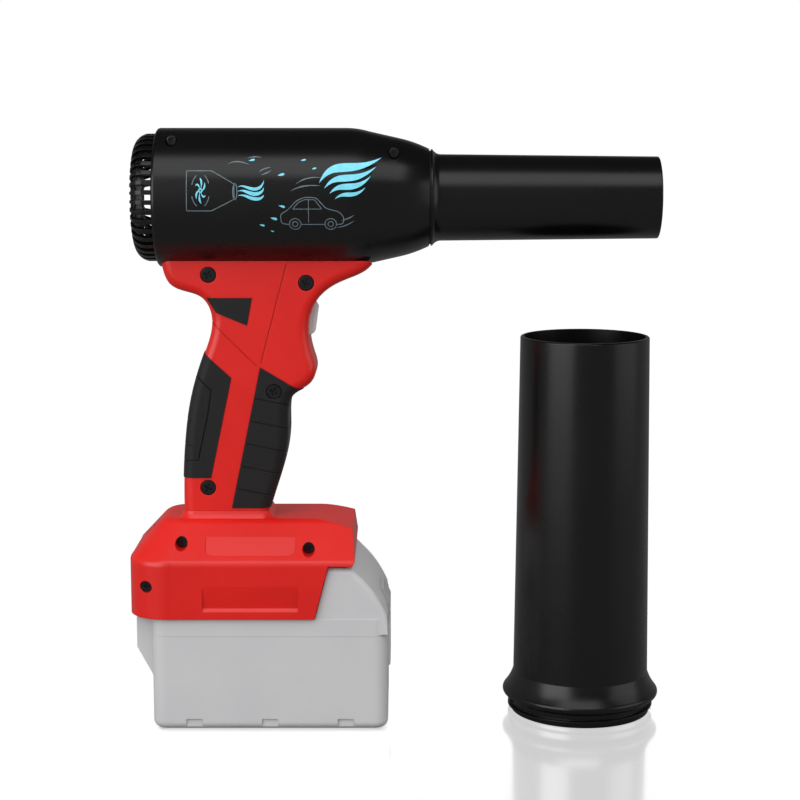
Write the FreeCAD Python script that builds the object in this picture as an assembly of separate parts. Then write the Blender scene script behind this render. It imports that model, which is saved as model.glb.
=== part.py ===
"""Cordless car dryer blower: a pistol-grip turbo blower on a slide-in battery pack.

Frame: +X runs along the barrel towards the nozzle, +Z is up and Y = 0 is the plane where the
clamshell halves meet. The origin is the middle of the battery's base. Sizes are in millimetres.
"""
import FreeCAD, Part
import math
import os

V = FreeCAD.Vector
X, Y, Z = V(1, 0, 0), V(0, 1, 0), V(0, 0, 1)

# ---- barrel -------------------------------------------------------------------------------
BARREL_SEAT_Z = 229.5       # height of the barrel's underside, which sits on the handle
BARREL_R = 34.5             # outer radius of the barrel
BARREL_Z = BARREL_SEAT_Z + BARREL_R     # height of the barrel's axis
BARREL_WALL = 2.4
BARREL_REAR = -55.6         # rear rim
BARREL_MOUTH = 79.5         # front rim
SHOULDER_X = 39.0           # where the barrel starts to close in
RIM_ROUND = 1.6

# ---- threads and fits ---------------------------------------------------------------------
RUN_GAP = 0.06              # radial running clearance of shafts and plungers
SEAT_GAP = 0.1              # clearance between pieces that sit in one another
PART_GAP = 0.02             # clearance between the clamshell halves

THREAD_PITCH = 2.4
THREAD_DEPTH = 1.1
THREAD_GAP = 0.25           # radial gap between a crest and the root that it faces
THREAD_TURNS = 2.5

# ---- nozzles ------------------------------------------------------------------------------
NOZZLE_LENGTH = 114.5       # from the barrel's mouth to the tip
NOZZLE_TAIL = 7.0           # threaded tail inside the mouth
NOZZLE_CORE_R = 20.8        # outside of the tail, under the thread
NOZZLE_FLARE_R = NOZZLE_CORE_R + 3.2
NOZZLE_NECK_R = NOZZLE_CORE_R + 0.7     # tube just in front of the flare
NOZZLE_TIP_R = NOZZLE_CORE_R - 0.4
NOZZLE_WALL = 1.5
GASKET_THICK = 0.6
MOUTH_R = NOZZLE_FLARE_R + 0.2          # outer radius of the barrel's mouth

WIDE_AWAY = 99.5            # from the battery's front to the loose wide nozzle's axis
WIDE_HEIGHT = 194.3
WIDE_CORE_R = 35.6
WIDE_CREST_R = 37.3
WIDE_FLARE_R = 40.0
WIDE_NECK_R = 34.6
WIDE_TIP_R = 32.6
WIDE_WALL = 1.8
WIDE_THREAD = 6.4           # height of the threaded tail
WIDE_PITCH = 3.0

# ---- intake grille ------------------------------------------------------------------------
GRILLE_R = BARREL_R - 2.8
GRILLE_REAR = -67.4
GRILLE_WALL = 2.2
GRILLE_RIBS = 40
GRILLE_SLOT = 2.7
GRILLE_TURN = -2.75          # degrees: lines the near slots up with the far ones, seen from above
GRILLE_HUB_R = 20.8
GRILLE_FACE = 1.8           # thickness of the rear face
FLANGE_R = BARREL_R - 1.3
FLANGE_THICK = 2.0

# ---- duct, motor and impeller -------------------------------------------------------------
DUCT_REAR = -40.0
DUCT_CONE = 22.0            # where the duct starts to narrow
DUCT_THROAT = 56.0
DUCT_FRONT = 71.0
DUCT_R = 29.4               # bore of the duct round the impeller
DUCT_WALL = 1.6
THROAT_R = NOZZLE_CORE_R - 3.6
VANES = 9
VANE_THICK = 1.6
HUB_REAR = -20.0
HUB_FRONT = 24.0
MOTOR_R = 14.0
HUB_WALL = 1.4
MOTOR_REAR = -18.0
MOTOR_FRONT = 8.0
MOTOR_WALL = 1.2
MAGNET_R = 7.0
COILS = 9
COIL_R = 1.25
MAGNET_GAP = 0.5            # air gap between magnets and stator
SHAFT_R = 2.0
BEARING_R = 5.0
BEARING_WIDE = 4.0
BLADES = 12
BLADE_THICK = 1.4
BLADE_TIP_GAP = 0.4
IMPELLER_REAR = -38.0
IMPELLER_FRONT = -24.0
IMPELLER_HUB_R = 13.5
SPINNER_LONG = 8.0
TAIL_LONG = 30.0

# ---- handle -------------------------------------------------------------------------------
HANDLE_HALF = 16.5          # half width of the handle
HANDLE_ROUND = 5.0
HANDLE_WALL = 2.4
GRIP_THICK = 1.8            # thickness of the soft grips set into the shells
GRIP_PROUD = 0.4            # how far the grips stand proud of the shells
GROOVE_DEEP = 0.8           # depth of the grooves in the grips
HANDLE_BASE = 107.5         # height where the handle meets the foot

SCREW_HEAD_R = 3.9
SCREW_HEAD_LONG = 2.0
SCREW_R = 1.6
BOSS_R = 3.6

# ---- foot and battery ---------------------------------------------------------------------
FOOT_HALF = 40.0
FOOT_REAR = -70.4
FOOT_BOTTOM = 57.4
FOOT_CREASE = 86.0
FOOT_TOP = 104.0
FOOT_TOP_HALF = HANDLE_HALF + 3.5
FOOT_WALL = 2.4
FOOT_SCREW_R = 3.1
NOSE_X = 42.6

BATTERY_HALF = 38.0
BATTERY_LONG = 118.0
BATTERY_SHOULDER = 48.0
BATTERY_WALL = 2.4
BATTERY_ROUND = 7.0
CELL_R = 9.1
CELL_GAP = 1.0              # between neighbouring cells
CELLS_LONG = 5
CELL_LONG = 65.0
RAIL_GAP = 0.3              # running clearance of the battery's rails

# ---- trigger ------------------------------------------------------------------------------
TRIGGER_TRAVEL = 5.0
TRIGGER_HALF = 5.5
TRIGGER_GAP = 0.3
SWITCH_FRONT = 9.0
SWITCH_REAR = -12.0
SWITCH_HALF = 7.0
SWITCH_LOW = 191.0


# ---- small helpers ------------------------------------------------------------------------
def save(name, *solids):
    """Write one node as a STEP file: one solid, or a group of separate ones."""
    flat = [s for shape in solids for s in shape.Solids]
    if not flat:
        raise ValueError(name + " is empty")
    shape = flat[0] if len(flat) == 1 else Part.makeCompound(flat)
    if not shape.isValid():
        print("not valid:", name)
    shape.exportStep("parts/" + name + ".step")
    print(name, len(flat), "solid(s)", round(sum(s.Volume for s in flat)), "mm3")


def box(x0, x1, y0, y1, z0, z1):
    """A box between the given faces."""
    return Part.makeBox(x1 - x0, y1 - y0, z1 - z0, V(x0, y0, z0))


def rod(r, start, end):
    """A round bar from one point to another."""
    return Part.makeCylinder(r, (end - start).Length, start, end - start)


def tube(r_out, r_in, start, end):
    """A round pipe from one point to another."""
    return rod(r_out, start, end).cut(rod(r_in, start, end))


def fuse(shapes):
    """Join shapes into one."""
    first = shapes[0]
    return first.multiFuse(shapes[1:]).removeSplitter() if len(shapes) > 1 else first


def axis_point(x, r=0.0, angle=0.0):
    """A point at x along the barrel, r from its axis, angle from +Z towards +Y in degrees."""
    a = math.radians(angle)
    return V(x, r * math.sin(a), BARREL_Z + r * math.cos(a))


def barrel_rod(r, x0, x1):
    """A cylinder on the barrel's axis."""
    return rod(r, axis_point(x0), axis_point(x1))


def barrel_tube(r_out, r_in, x0, x1):
    """A pipe on the barrel's axis."""
    return tube(r_out, r_in, axis_point(x0), axis_point(x1))


def wire_of(points):
    """A closed wire. A point given as ("arc", mid, end) bows the step through mid."""
    edges = []
    here = points[0]
    for step in points[1:] + [points[0]]:
        if isinstance(step, tuple):
            edges.append(Part.Arc(here, step[1], step[2]).toShape())
            here = step[2]
        elif (step - here).Length > 1e-6:
            edges.append(Part.makeLine(here, step))
            here = step
    return Part.Wire(edges)


def lathe(points, base, axis):
    """Turn a closed outline a full turn about an axis."""
    return Part.Face(wire_of(points)).revolve(base, axis, 360)


def placed(points, x0, y0, z0):
    """Put an outline of (x, z) points, or ("arc", (x, z), (x, z)) steps, in space."""
    def place(p):
        return V(x0 + p[0], y0, z0 + p[1])
    return [("arc", place(p[1]), place(p[2])) if p[0] == "arc" else place(p) for p in points]


def turned(points):
    """Turn an outline of (x, r) points about the barrel's axis."""
    return lathe(placed(points, 0, 0, BARREL_Z), axis_point(0), X)


def slab(points, half):
    """Extrude an outline of (x, z) points across Y, half to each side of the mid-plane."""
    return Part.Face(wire_of(placed(points, 0, -half, 0))).extrude(V(0, 2 * half, 0))


def side(shape, sign):
    """The half of a shape on one side of the mid-plane: -1 is the right, +1 the left."""
    big = 600
    cutter = box(-big, big, PART_GAP / 2, big, -big, big)
    if sign < 0:
        cutter = box(-big, big, -big, -PART_GAP / 2, -big, big)
    return shape.common(cutter)


def helix_ridge(root, crest, pitch, turns, base, tip):
    """A screw thread's ridge on +Z from the origin, from its root radius to its crest."""
    sink = 0.3 if crest > root else -0.3
    spine = Part.makeHelix(pitch, pitch * turns, root)
    outline = [V(root - sink, 0, -base / 2), V(crest, 0, -tip / 2),
               V(crest, 0, tip / 2), V(root - sink, 0, base / 2)]
    section = Part.makePolygon(outline + [outline[0]])
    return Part.Wire(spine.Edges).makePipeShell([section], True, True)


def along_barrel(shape, x):
    """Lay a shape that was built on +Z along the barrel's axis, its origin at x."""
    shape.rotate(V(0, 0, 0), Y, 90)
    shape.translate(V(x, 0, BARREL_Z))
    return shape


# ---- barrel -------------------------------------------------------------------------------
THREAD_CREST = NOZZLE_CORE_R + THREAD_DEPTH
MOUTH_BORE = THREAD_CREST + THREAD_GAP
MOUTH_DEEP = 8.4            # depth of the threaded mouth
THREAD_START = BARREL_MOUTH - 1.0 - THREAD_PITCH * THREAD_TURNS
FLANGE_X = BARREL_REAR + 2.6
BARREL_SCREWS = [(-46.7, BARREL_Z + BARREL_R - 6.0), (62.0, BARREL_Z + BARREL_R - 12.0)]
BARREL_SCREW_RADII = (BARREL_R, BARREL_R - 4.2)     # the barrel's radius at each of them
LUG_SCREWS = [(-29.9, BARREL_SEAT_Z - 2.8), (18.5, BARREL_SEAT_Z - 6.8)]
LUG_HALF = 6.0
WIRE_HOLE = (7.0, 17.0)     # opening for the motor's wires through the barrel's floor


def barrel_profile():
    """The barrel's wall as an outline of (x, r) points."""
    inner = BARREL_R - BARREL_WALL
    web = BARREL_MOUTH - MOUTH_DEEP
    return [
        (BARREL_REAR, GRILLE_R + SEAT_GAP), (BARREL_REAR, BARREL_R - RIM_ROUND),
        ("arc", (BARREL_REAR + 0.3 * RIM_ROUND, BARREL_R - 0.3 * RIM_ROUND),
         (BARREL_REAR + RIM_ROUND, BARREL_R)),
        (SHOULDER_X, BARREL_R),
        ("arc", (SHOULDER_X + 6, BARREL_R - 0.6), (SHOULDER_X + 11, BARREL_R - 1.75)),
        (SHOULDER_X + 25, BARREL_R - 4.9),
        ("arc", (SHOULDER_X + 34, BARREL_R - 7.5), (BARREL_MOUTH, MOUTH_R)),
        (BARREL_MOUTH, MOUTH_BORE), (web, MOUTH_BORE),
        (web, THROAT_R + DUCT_WALL + SEAT_GAP), (web - 2.2, THROAT_R + DUCT_WALL + SEAT_GAP),
        (web - 2.2, BARREL_R - 10.4), (SHOULDER_X + 25, BARREL_R - 7.4),
        (SHOULDER_X + 11, inner - 1.75), (SHOULDER_X, inner),
        (FLANGE_X + FLANGE_THICK + SEAT_GAP, inner),
        (FLANGE_X + FLANGE_THICK + SEAT_GAP, FLANGE_R + SEAT_GAP),
        (FLANGE_X - SEAT_GAP, FLANGE_R + SEAT_GAP), (FLANGE_X - SEAT_GAP, GRILLE_R + SEAT_GAP),
    ]


def screw_cut(x, z, half, head_r):
    """The recess, shank hole and pilot of a cross screw driven in from the right side."""
    head = rod(head_r + 0.1, V(x, -half - 20, z), V(x, -half + SCREW_HEAD_LONG + 0.4, z))
    shank = rod(SCREW_R + SEAT_GAP, V(x, -half, z), V(x, half - 3.0, z))
    return head.fuse(shank)


def screw(x, z, half, head_r):
    """A cross-head screw from the right side: head, shank and cross recess."""
    seat = -half + SCREW_HEAD_LONG + 0.4
    head = rod(head_r, V(x, seat - SCREW_HEAD_LONG, z), V(x, seat, z))
    edge = [e for e in head.Edges if abs(e.BoundBox.YMax - (seat - SCREW_HEAD_LONG)) < 0.01]
    head = head.makeFillet(0.6, [e for e in edge if e.BoundBox.YLength < 0.01])
    body = head.fuse(rod(SCREW_R, V(x, seat - 0.1, z), V(x, half - 4.0, z)))
    arm, thin = head_r * 0.55, 0.45
    top = seat - SCREW_HEAD_LONG
    for cross in (box(-arm, arm, top - 1, top + 1.2, -thin, thin),
                  box(-thin, thin, top - 1, top + 1.2, -arm, arm)):
        cross.rotate(V(0, 0, 0), Y, 25)
        cross.translate(V(x, 0, z))
        body = body.cut(cross)
    return body


def barrel_half_width(z, r):
    """Half the width of a circle of radius r about the barrel's axis, at height z."""
    return math.sqrt(r * r - (z - BARREL_Z) ** 2)


BARREL_SCREW_HALF = [barrel_half_width(z, r) - 1.0
                     for (x, z), r in zip(BARREL_SCREWS, BARREL_SCREW_RADII)]


def barrel_shells():
    """Both halves of the barrel, with screw bosses, keel lugs, mouth thread and vents."""
    solid = turned([(BARREL_REAR, 0), (BARREL_REAR, BARREL_R), (SHOULDER_X, BARREL_R),
                    (SHOULDER_X + 11, BARREL_R - 1.75), (SHOULDER_X + 25, BARREL_R - 4.9),
                    (BARREL_MOUTH, MOUTH_R), (BARREL_MOUTH, 0)])
    shell = turned(barrel_profile())
    bosses = [rod(BOSS_R - 0.4, V(x, -40, z), V(x, 40, z)).common(solid) for x, z in BARREL_SCREWS]
    lugs = []
    for x, z in LUG_SCREWS:
        lug = box(x - BOSS_R - 2, x + BOSS_R + 2, -LUG_HALF, LUG_HALF, z, BARREL_Z - BARREL_R + 2.4)
        lugs.append(lug.fuse(rod(BOSS_R + 2, V(x, -LUG_HALF, z), V(x, LUG_HALF, z))))
    inner = barrel_rod(BARREL_R - BARREL_WALL, BARREL_REAR, SHOULDER_X)
    lugs = [lug.cut(inner) for lug in lugs]
    lip = box(16, 40, -9, 9, BARREL_Z - BARREL_R - 1.6, BARREL_Z - BARREL_R + 1.6).cut(inner)
    ridge = helix_ridge(MOUTH_BORE, NOZZLE_CORE_R + THREAD_GAP, THREAD_PITCH, THREAD_TURNS, 1.1, 0.5)
    ridge = along_barrel(ridge, THREAD_START)
    shell = fuse([shell, ridge, lip] + bosses + lugs)
    for (x, z), half in zip(BARREL_SCREWS, BARREL_SCREW_HALF):
        shell = shell.cut(screw_cut(x, z, half, 2.7))
    for x, z in LUG_SCREWS:
        shell = shell.cut(rod(SCREW_R + 0.4, V(x, -LUG_HALF - 1, z), V(x, LUG_HALF + 1, z)))
    shell = shell.cut(box(WIRE_HOLE[0], WIRE_HOLE[1], -5, 5, BARREL_Z - BARREL_R - 4,
                          BARREL_Z - DUCT_R - DUCT_WALL))
    save("barrel_shell_right", side(shell, -1))
    save("barrel_shell_left", side(shell, 1))
    save("barrel_screws", *[screw(x, z, half, 2.6)
                            for (x, z), half in zip(BARREL_SCREWS, BARREL_SCREW_HALF)])


def intake_grille():
    """The ribbed intake cap, its flange held in a groove inside the barrel's rear rim."""
    r, rear, wall = GRILLE_R, GRILLE_REAR, GRILLE_WALL
    face = rear + GRILLE_FACE
    cap = turned([
        (rear, 0), (rear + 0.5, r - 9), ("arc", (rear + 2.0, r - 3.0), (rear + 7.0, r)),
        (FLANGE_X, r), (FLANGE_X, FLANGE_R), (FLANGE_X + FLANGE_THICK, FLANGE_R),
        (FLANGE_X + FLANGE_THICK, r - wall), (face + 3.2, r - wall), (face, r - wall - 4), (face, 0)])
    cuts = []
    for i in range(GRILLE_RIBS):
        slot = box(rear - 1, BARREL_REAR - 0.2, -GRILLE_SLOT / 2, GRILLE_SLOT / 2, GRILLE_HUB_R, r + 2)
        slot.rotate(V(0, 0, 0), X, 90 + GRILLE_TURN + i * 360 / GRILLE_RIBS)
        slot.translate(V(0, 0, BARREL_Z))
        cuts.append(slot)
    for i in range(GRILLE_RIBS // 2):
        slot = box(rear - 1, face + 1, -1, 1, 10.5, GRILLE_HUB_R - 2.4)
        slot.rotate(V(0, 0, 0), X, 90 + GRILLE_TURN + i * 720 / GRILLE_RIBS)
        slot.translate(V(0, 0, BARREL_Z))
        cuts.append(slot)
    save("intake_grille", cap.cut(Part.makeCompound(cuts)))


def thread_on_nozzle():
    """The nozzle's own screw ridge, laid on the barrel's axis."""
    ridge = helix_ridge(NOZZLE_CORE_R, THREAD_CREST, THREAD_PITCH, THREAD_TURNS - 0.5, 1.1, 0.5)
    return along_barrel(ridge, THREAD_START + THREAD_PITCH / 2)


def nozzle():
    """The fitted nozzle: threaded tail, flare and long taper, with a straight outlet bore."""
    flare = BARREL_MOUTH + GASKET_THICK + 0.2
    tip = BARREL_MOUTH + NOZZLE_LENGTH
    tail = BARREL_MOUTH - NOZZLE_TAIL
    bore = NOZZLE_TIP_R - NOZZLE_WALL
    body = turned([
        (tail, bore), (tail, NOZZLE_CORE_R), (flare, NOZZLE_CORE_R), (flare, NOZZLE_FLARE_R),
        (flare + 0.8, NOZZLE_FLARE_R), ("arc", (flare + 2.4, NOZZLE_NECK_R + 0.8),
                                        (flare + 5.4, NOZZLE_NECK_R)),
        (tip - 0.8, NOZZLE_TIP_R), ("arc", (tip - 0.2, NOZZLE_TIP_R - 0.2), (tip, NOZZLE_TIP_R - 0.8)),
        (tip, bore)])
    save("nozzle", body.fuse(thread_on_nozzle()))
    save("nozzle_gasket", barrel_tube(NOZZLE_FLARE_R - 0.7, NOZZLE_CORE_R + RUN_GAP,
                                      BARREL_MOUTH + 0.1, BARREL_MOUTH + 0.1 + GASKET_THICK))


def wide_nozzle():
    """The loose wide nozzle, standing on its threaded end."""
    bore = WIDE_TIP_R - WIDE_WALL
    top = WIDE_HEIGHT
    axis_x = HALF_LONG + WIDE_AWAY
    flare, neck = WIDE_FLARE_R, WIDE_NECK_R
    outline = [
        (bore, 0), (WIDE_CORE_R, 0), (WIDE_CORE_R, WIDE_THREAD), (flare - 1.0, WIDE_THREAD + 1.8),
        ("arc", (flare, WIDE_THREAD + 3.4), (flare - 0.8, WIDE_THREAD + 5.4)),
        ("arc", (neck + 1.6, WIDE_THREAD + 10.2), (neck, WIDE_THREAD + 14.4)),
        (WIDE_TIP_R, top - 0.8), ("arc", (WIDE_TIP_R - 0.25, top - 0.25), (WIDE_TIP_R - 0.8, top)),
        (bore, top)]
    body = lathe(placed(outline, axis_x, 0, 0), V(axis_x, 0, 0), Z)
    turns = (WIDE_THREAD - 1.8) / WIDE_PITCH
    ridge = helix_ridge(WIDE_CORE_R, WIDE_CREST_R, WIDE_PITCH, turns, 1.6, 0.8)
    ridge.translate(V(axis_x, 0, 0.9))
    save("wide_nozzle", body.fuse(ridge))


# ---- duct, motor and impeller -------------------------------------------------------------
def ring_of_vanes():
    """Flat stator vanes between the motor's hub and the duct."""
    vanes = []
    for i in range(VANES):
        vane = box(2, 19, -VANE_THICK / 2, VANE_THICK / 2, MOTOR_R + HUB_WALL - 0.4, DUCT_R + 0.5)
        vane.rotate(V(10, 0, 0), Z, 14)
        vane.rotate(V(0, 0, 0), X, 180 + i * 360 / VANES)
        vane.translate(V(0, 0, BARREL_Z))
        vanes.append(vane)
    return vanes


def fan_duct():
    """The inner duct: a cylinder round the impeller, stator vanes, motor hub and throat."""
    out = DUCT_R + DUCT_WALL
    inner_wall = BARREL_R - BARREL_WALL - SEAT_GAP
    duct = turned([
        (DUCT_REAR, DUCT_R), (DUCT_REAR, inner_wall), (DUCT_REAR + 2, inner_wall), (DUCT_REAR + 2, out),
        (DUCT_CONE - 2, out), (DUCT_CONE - 2, inner_wall), (DUCT_CONE, inner_wall), (DUCT_CONE, out),
        (DUCT_THROAT, THROAT_R + DUCT_WALL), (DUCT_FRONT, THROAT_R + DUCT_WALL),
        (DUCT_FRONT, THROAT_R), (DUCT_THROAT, THROAT_R), (DUCT_CONE, DUCT_R)])
    hub = barrel_tube(MOTOR_R + SEAT_GAP + HUB_WALL, MOTOR_R + SEAT_GAP, HUB_REAR, HUB_FRONT)
    stop = barrel_tube(MOTOR_R + SEAT_GAP + 0.2, MOTOR_R - 1.5, MOTOR_FRONT + SEAT_GAP, MOTOR_FRONT + 2)
    x0, x1 = WIRE_HOLE
    strut = box(x0 - 1.2, x1 - 1.8, -4.6, 4.6, BARREL_Z - DUCT_R - 0.8, BARREL_Z - MOTOR_R - 0.6)
    duct = fuse([duct, hub, stop, strut] + ring_of_vanes())
    wire_way = box(x0, x1 - 3.0, -3.5, 3.5, BARREL_Z - BARREL_R, BARREL_Z - MOTOR_R + 3.0)
    save("fan_duct", duct.cut(wire_way))
    x0 = HUB_FRONT + SEAT_GAP
    r = MOTOR_R + SEAT_GAP + HUB_WALL
    cone = turned([
        (x0 - 4, MOTOR_R - 1.2), (x0 - 4, MOTOR_R), (x0, MOTOR_R), (x0, r),
        ("arc", (x0 + TAIL_LONG * 0.5, r * 0.62), (x0 + TAIL_LONG, 2.4)), (x0 + TAIL_LONG, 0),
        (x0 + TAIL_LONG - 3, 0), ("arc", (x0 + TAIL_LONG * 0.45, r * 0.5), (x0, MOTOR_R - 1.2))])
    save("tail_cone", cone)


def motor():
    """The motor's can, stator, end cap and bearings, all fixed in the hub."""
    can = turned([
        (MOTOR_REAR, BEARING_R + 0.05), (MOTOR_REAR, MOTOR_R), (MOTOR_FRONT - 2, MOTOR_R),
        (MOTOR_FRONT - 2, MOTOR_R - MOTOR_WALL), (MOTOR_REAR + 1.6, MOTOR_R - MOTOR_WALL),
        (MOTOR_REAR + 1.6, BEARING_R + 2), (MOTOR_REAR + BEARING_WIDE, BEARING_R + 2),
        (MOTOR_REAR + BEARING_WIDE, BEARING_R + 0.05)])
    save("motor_can", can)
    cap = turned([
        (MOTOR_FRONT, BEARING_R + 0.05), (MOTOR_FRONT, MOTOR_R), (MOTOR_FRONT - 1.9, MOTOR_R),
        (MOTOR_FRONT - 1.9, BEARING_R + 2), (MOTOR_FRONT - BEARING_WIDE, BEARING_R + 2),
        (MOTOR_FRONT - BEARING_WIDE, BEARING_R + 0.05)])
    exits = [rod(1.1, V(MOTOR_FRONT - 3, y, BARREL_Z - 9.2), V(MOTOR_FRONT + 1, y, BARREL_Z - 9.2))
             for y in WIRE_Y]
    save("motor_end_cap", cap.cut(Part.makeCompound(exits)))
    start, end = MOTOR_REAR + 5.0, MOTOR_FRONT - 5.0
    outer, inner = MOTOR_R - MOTOR_WALL - 0.05, MAGNET_R + MAGNET_GAP
    stator = barrel_tube(outer, inner, start, end)
    ring = (outer + inner) / 2

    def lengths(r, over):
        angles = [i * 360 / COILS for i in range(COILS)]
        return [rod(r, axis_point(start - over, ring, a), axis_point(end + over, ring, a)) for a in angles]
    save("motor_stator", stator.cut(Part.makeCompound(lengths(COIL_R + 0.05, 1.0))))
    save("motor_coils", *lengths(COIL_R, 1.2))
    for name, x0 in (("bearing_rear", MOTOR_REAR), ("bearing_front", MOTOR_FRONT - BEARING_WIDE)):
        save(name, barrel_tube(BEARING_R, SHAFT_R + RUN_GAP, x0, x0 + BEARING_WIDE))


def impeller():
    """The rotor: shaft, magnets, bladed impeller and the spinner that clamps it."""
    shaft_end = MOTOR_FRONT + 1.5
    save("motor_shaft", barrel_rod(SHAFT_R, IMPELLER_REAR - SPINNER_LONG + 3, shaft_end))
    save("motor_magnets", barrel_tube(MAGNET_R, SHAFT_R, MOTOR_REAR + 5.5, MOTOR_FRONT - 5.5))
    hub = barrel_tube(IMPELLER_HUB_R, SHAFT_R, IMPELLER_REAR, IMPELLER_FRONT)
    hollow = barrel_tube(IMPELLER_HUB_R - 1.6, SHAFT_R + 2.5, IMPELLER_REAR + 3, IMPELLER_FRONT + 1)
    hub = hub.cut(hollow)
    mid = (IMPELLER_REAR + IMPELLER_FRONT) / 2
    tip = DUCT_R - BLADE_TIP_GAP

    def station(r, pitch_angle, chord):
        outline = [V(-chord / 2, -BLADE_THICK / 2, 0), V(chord / 2, -BLADE_THICK / 2, 0),
                   V(chord / 2, BLADE_THICK / 2, 0), V(-chord / 2, BLADE_THICK / 2, 0)]
        wire = Part.makePolygon(outline + [outline[0]])
        wire.rotate(V(0, 0, 0), Z, pitch_angle)
        wire.translate(V(mid, 0, r))
        return wire
    limit = barrel_rod(tip, IMPELLER_REAR - 2, IMPELLER_FRONT + 2)
    blades = []
    for i in range(BLADES):
        blade = Part.makeLoft([station(IMPELLER_HUB_R - 1.0, 40, 15), station(tip + 1, 62, 19)], True, True)
        blade.rotate(V(0, 0, 0), X, i * 360 / BLADES)
        blade.translate(V(0, 0, BARREL_Z))
        blades.append(blade.common(limit))
    save("impeller", hub.multiFuse(blades))
    nose = IMPELLER_REAR - SPINNER_LONG
    r = IMPELLER_HUB_R
    spinner = turned([(nose, 0), ("arc", (nose + 2.2, r * 0.72), (IMPELLER_REAR - 0.05, r)),
                      (IMPELLER_REAR - 0.05, 0)])
    save("impeller_spinner", spinner.cut(barrel_rod(SHAFT_R, nose + 3, IMPELLER_REAR)))


# ---- handle -------------------------------------------------------------------------------
REAR_LINE = [(-53.8, 240.0), (-52.4, 227.6), (-49.2, 221.6), (-41.8, 218.1), (-33.8, 215.0), (-29.5, 208.5),
             (-29.0, 199.4), (-32.7, 187.2), (-39.1, 166.7), (-42.8, 141.9), (-44.1, 112.8),
             (-43.7, 98.0)]
FRONT_LINE = [(-3.4, 98.0), (2.0, 117.0), (7.3, 135.7), (8.7, 148.2), (8.8, 158.5), (11.2, 166.0),
              (19.4, 171.4), (22.9, 178.0), (21.2, 186.1), (19.3, 197.4), (20.6, 207.5),
              (25.2, 215.6), (36.3, 223.2), (47.5, 228.2), (54.0, 240.0)]
SADDLE_Z = 236.0            # top of the handle's outline, inside the barrel
FRONT_GRIP = [(-4.7, 180.5), (13.4, 169.6), (40, 166), (40, 109.0), (-19.6, 109.0)]
REAR_GRIP = [(-60, 193), (-33.5, 188.2), (-19.2, 175.3), (-30, 124.5), (-60, 124.5)]
WEB_PAD = [(-31, 215.2), (-8.5, 215.2), (-11.0, 201.6), (-26.3, 207.9)]
HANDLE_SCREWS = LUG_SCREWS + [(2.1, 168.2), (-31.5, 119.5)]
GRIP_LINES = [(-7.0 - 2.2 * i, 164.7 - 11.5 * i) for i in range(5)]     # rear end of each groove
GRIP_LINE_FALL = 11.5       # how steeply they fall towards the front, in degrees
REAR_PANEL = [(-46.0, 185.8), (-29.2, 168.8), (-31.3, 155.1), (-36.2, 133.4), (-52.0, 133.0)]
REAR_NOTCHES = (166.7, 153.4, 141.0)
SEAMS = [[(8.8, 231.6), (-4.2, 182.6)], [(-29.5, 204.1), (-6.7, 181.3)]]
SEAM_WIDE = 0.6
SEAM_DEEP = 0.4
WIRE_Y = (-2.4, 0.0, 2.4)


def inset_curve(points, inset, towards):
    """A smooth curve through (x, z) points, shifted sideways by inset to the side of +X or -X."""
    curve = Part.BSplineCurve()
    curve.interpolate([V(x, 0, z) for x, z in points])
    if not inset:
        return curve
    moved = []
    for x, z in points:
        along = curve.tangent(curve.parameter(V(x, 0, z)))[0]
        normal = along.cross(Y)
        if normal.x * towards < 0:
            normal = -normal
        moved.append(V(x, 0, z) + normal * inset)
    shifted = Part.BSplineCurve()
    shifted.interpolate(moved)
    return shifted


def handle_body(inset):
    """The handle as a solid bar with rounded sides, every face set in by inset."""
    rear = inset_curve(REAR_LINE, inset, 1).toShape()
    front = inset_curve(FRONT_LINE, inset, -1).toShape()
    ends = [rear.Vertexes[0].Point, rear.Vertexes[-1].Point, front.Vertexes[0].Point, front.Vertexes[-1].Point]
    base = Part.makeLine(ends[1], ends[2])
    top = Part.makeLine(ends[3], ends[0])
    face = Part.Face(Part.Wire([rear, base, front, top]))
    half = HANDLE_HALF - inset
    face.translate(V(0, -half, 0))
    bar = face.extrude(V(0, 2 * half, 0))
    edges = [e for e in bar.Edges if e.BoundBox.YLength < 1e-3 and e.BoundBox.ZLength > 50]
    return bar.makeFillet(max(HANDLE_ROUND - inset, 1.2), edges)


def trim_handle(shape, extra):
    """Cut a handle piece to the barrel above and the foot below."""
    saddle = barrel_rod(BARREL_R + extra, -80, 90)
    return shape.cut(saddle).cut(box(-200, 200, -60, 60, 0, HANDLE_BASE))


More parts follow.
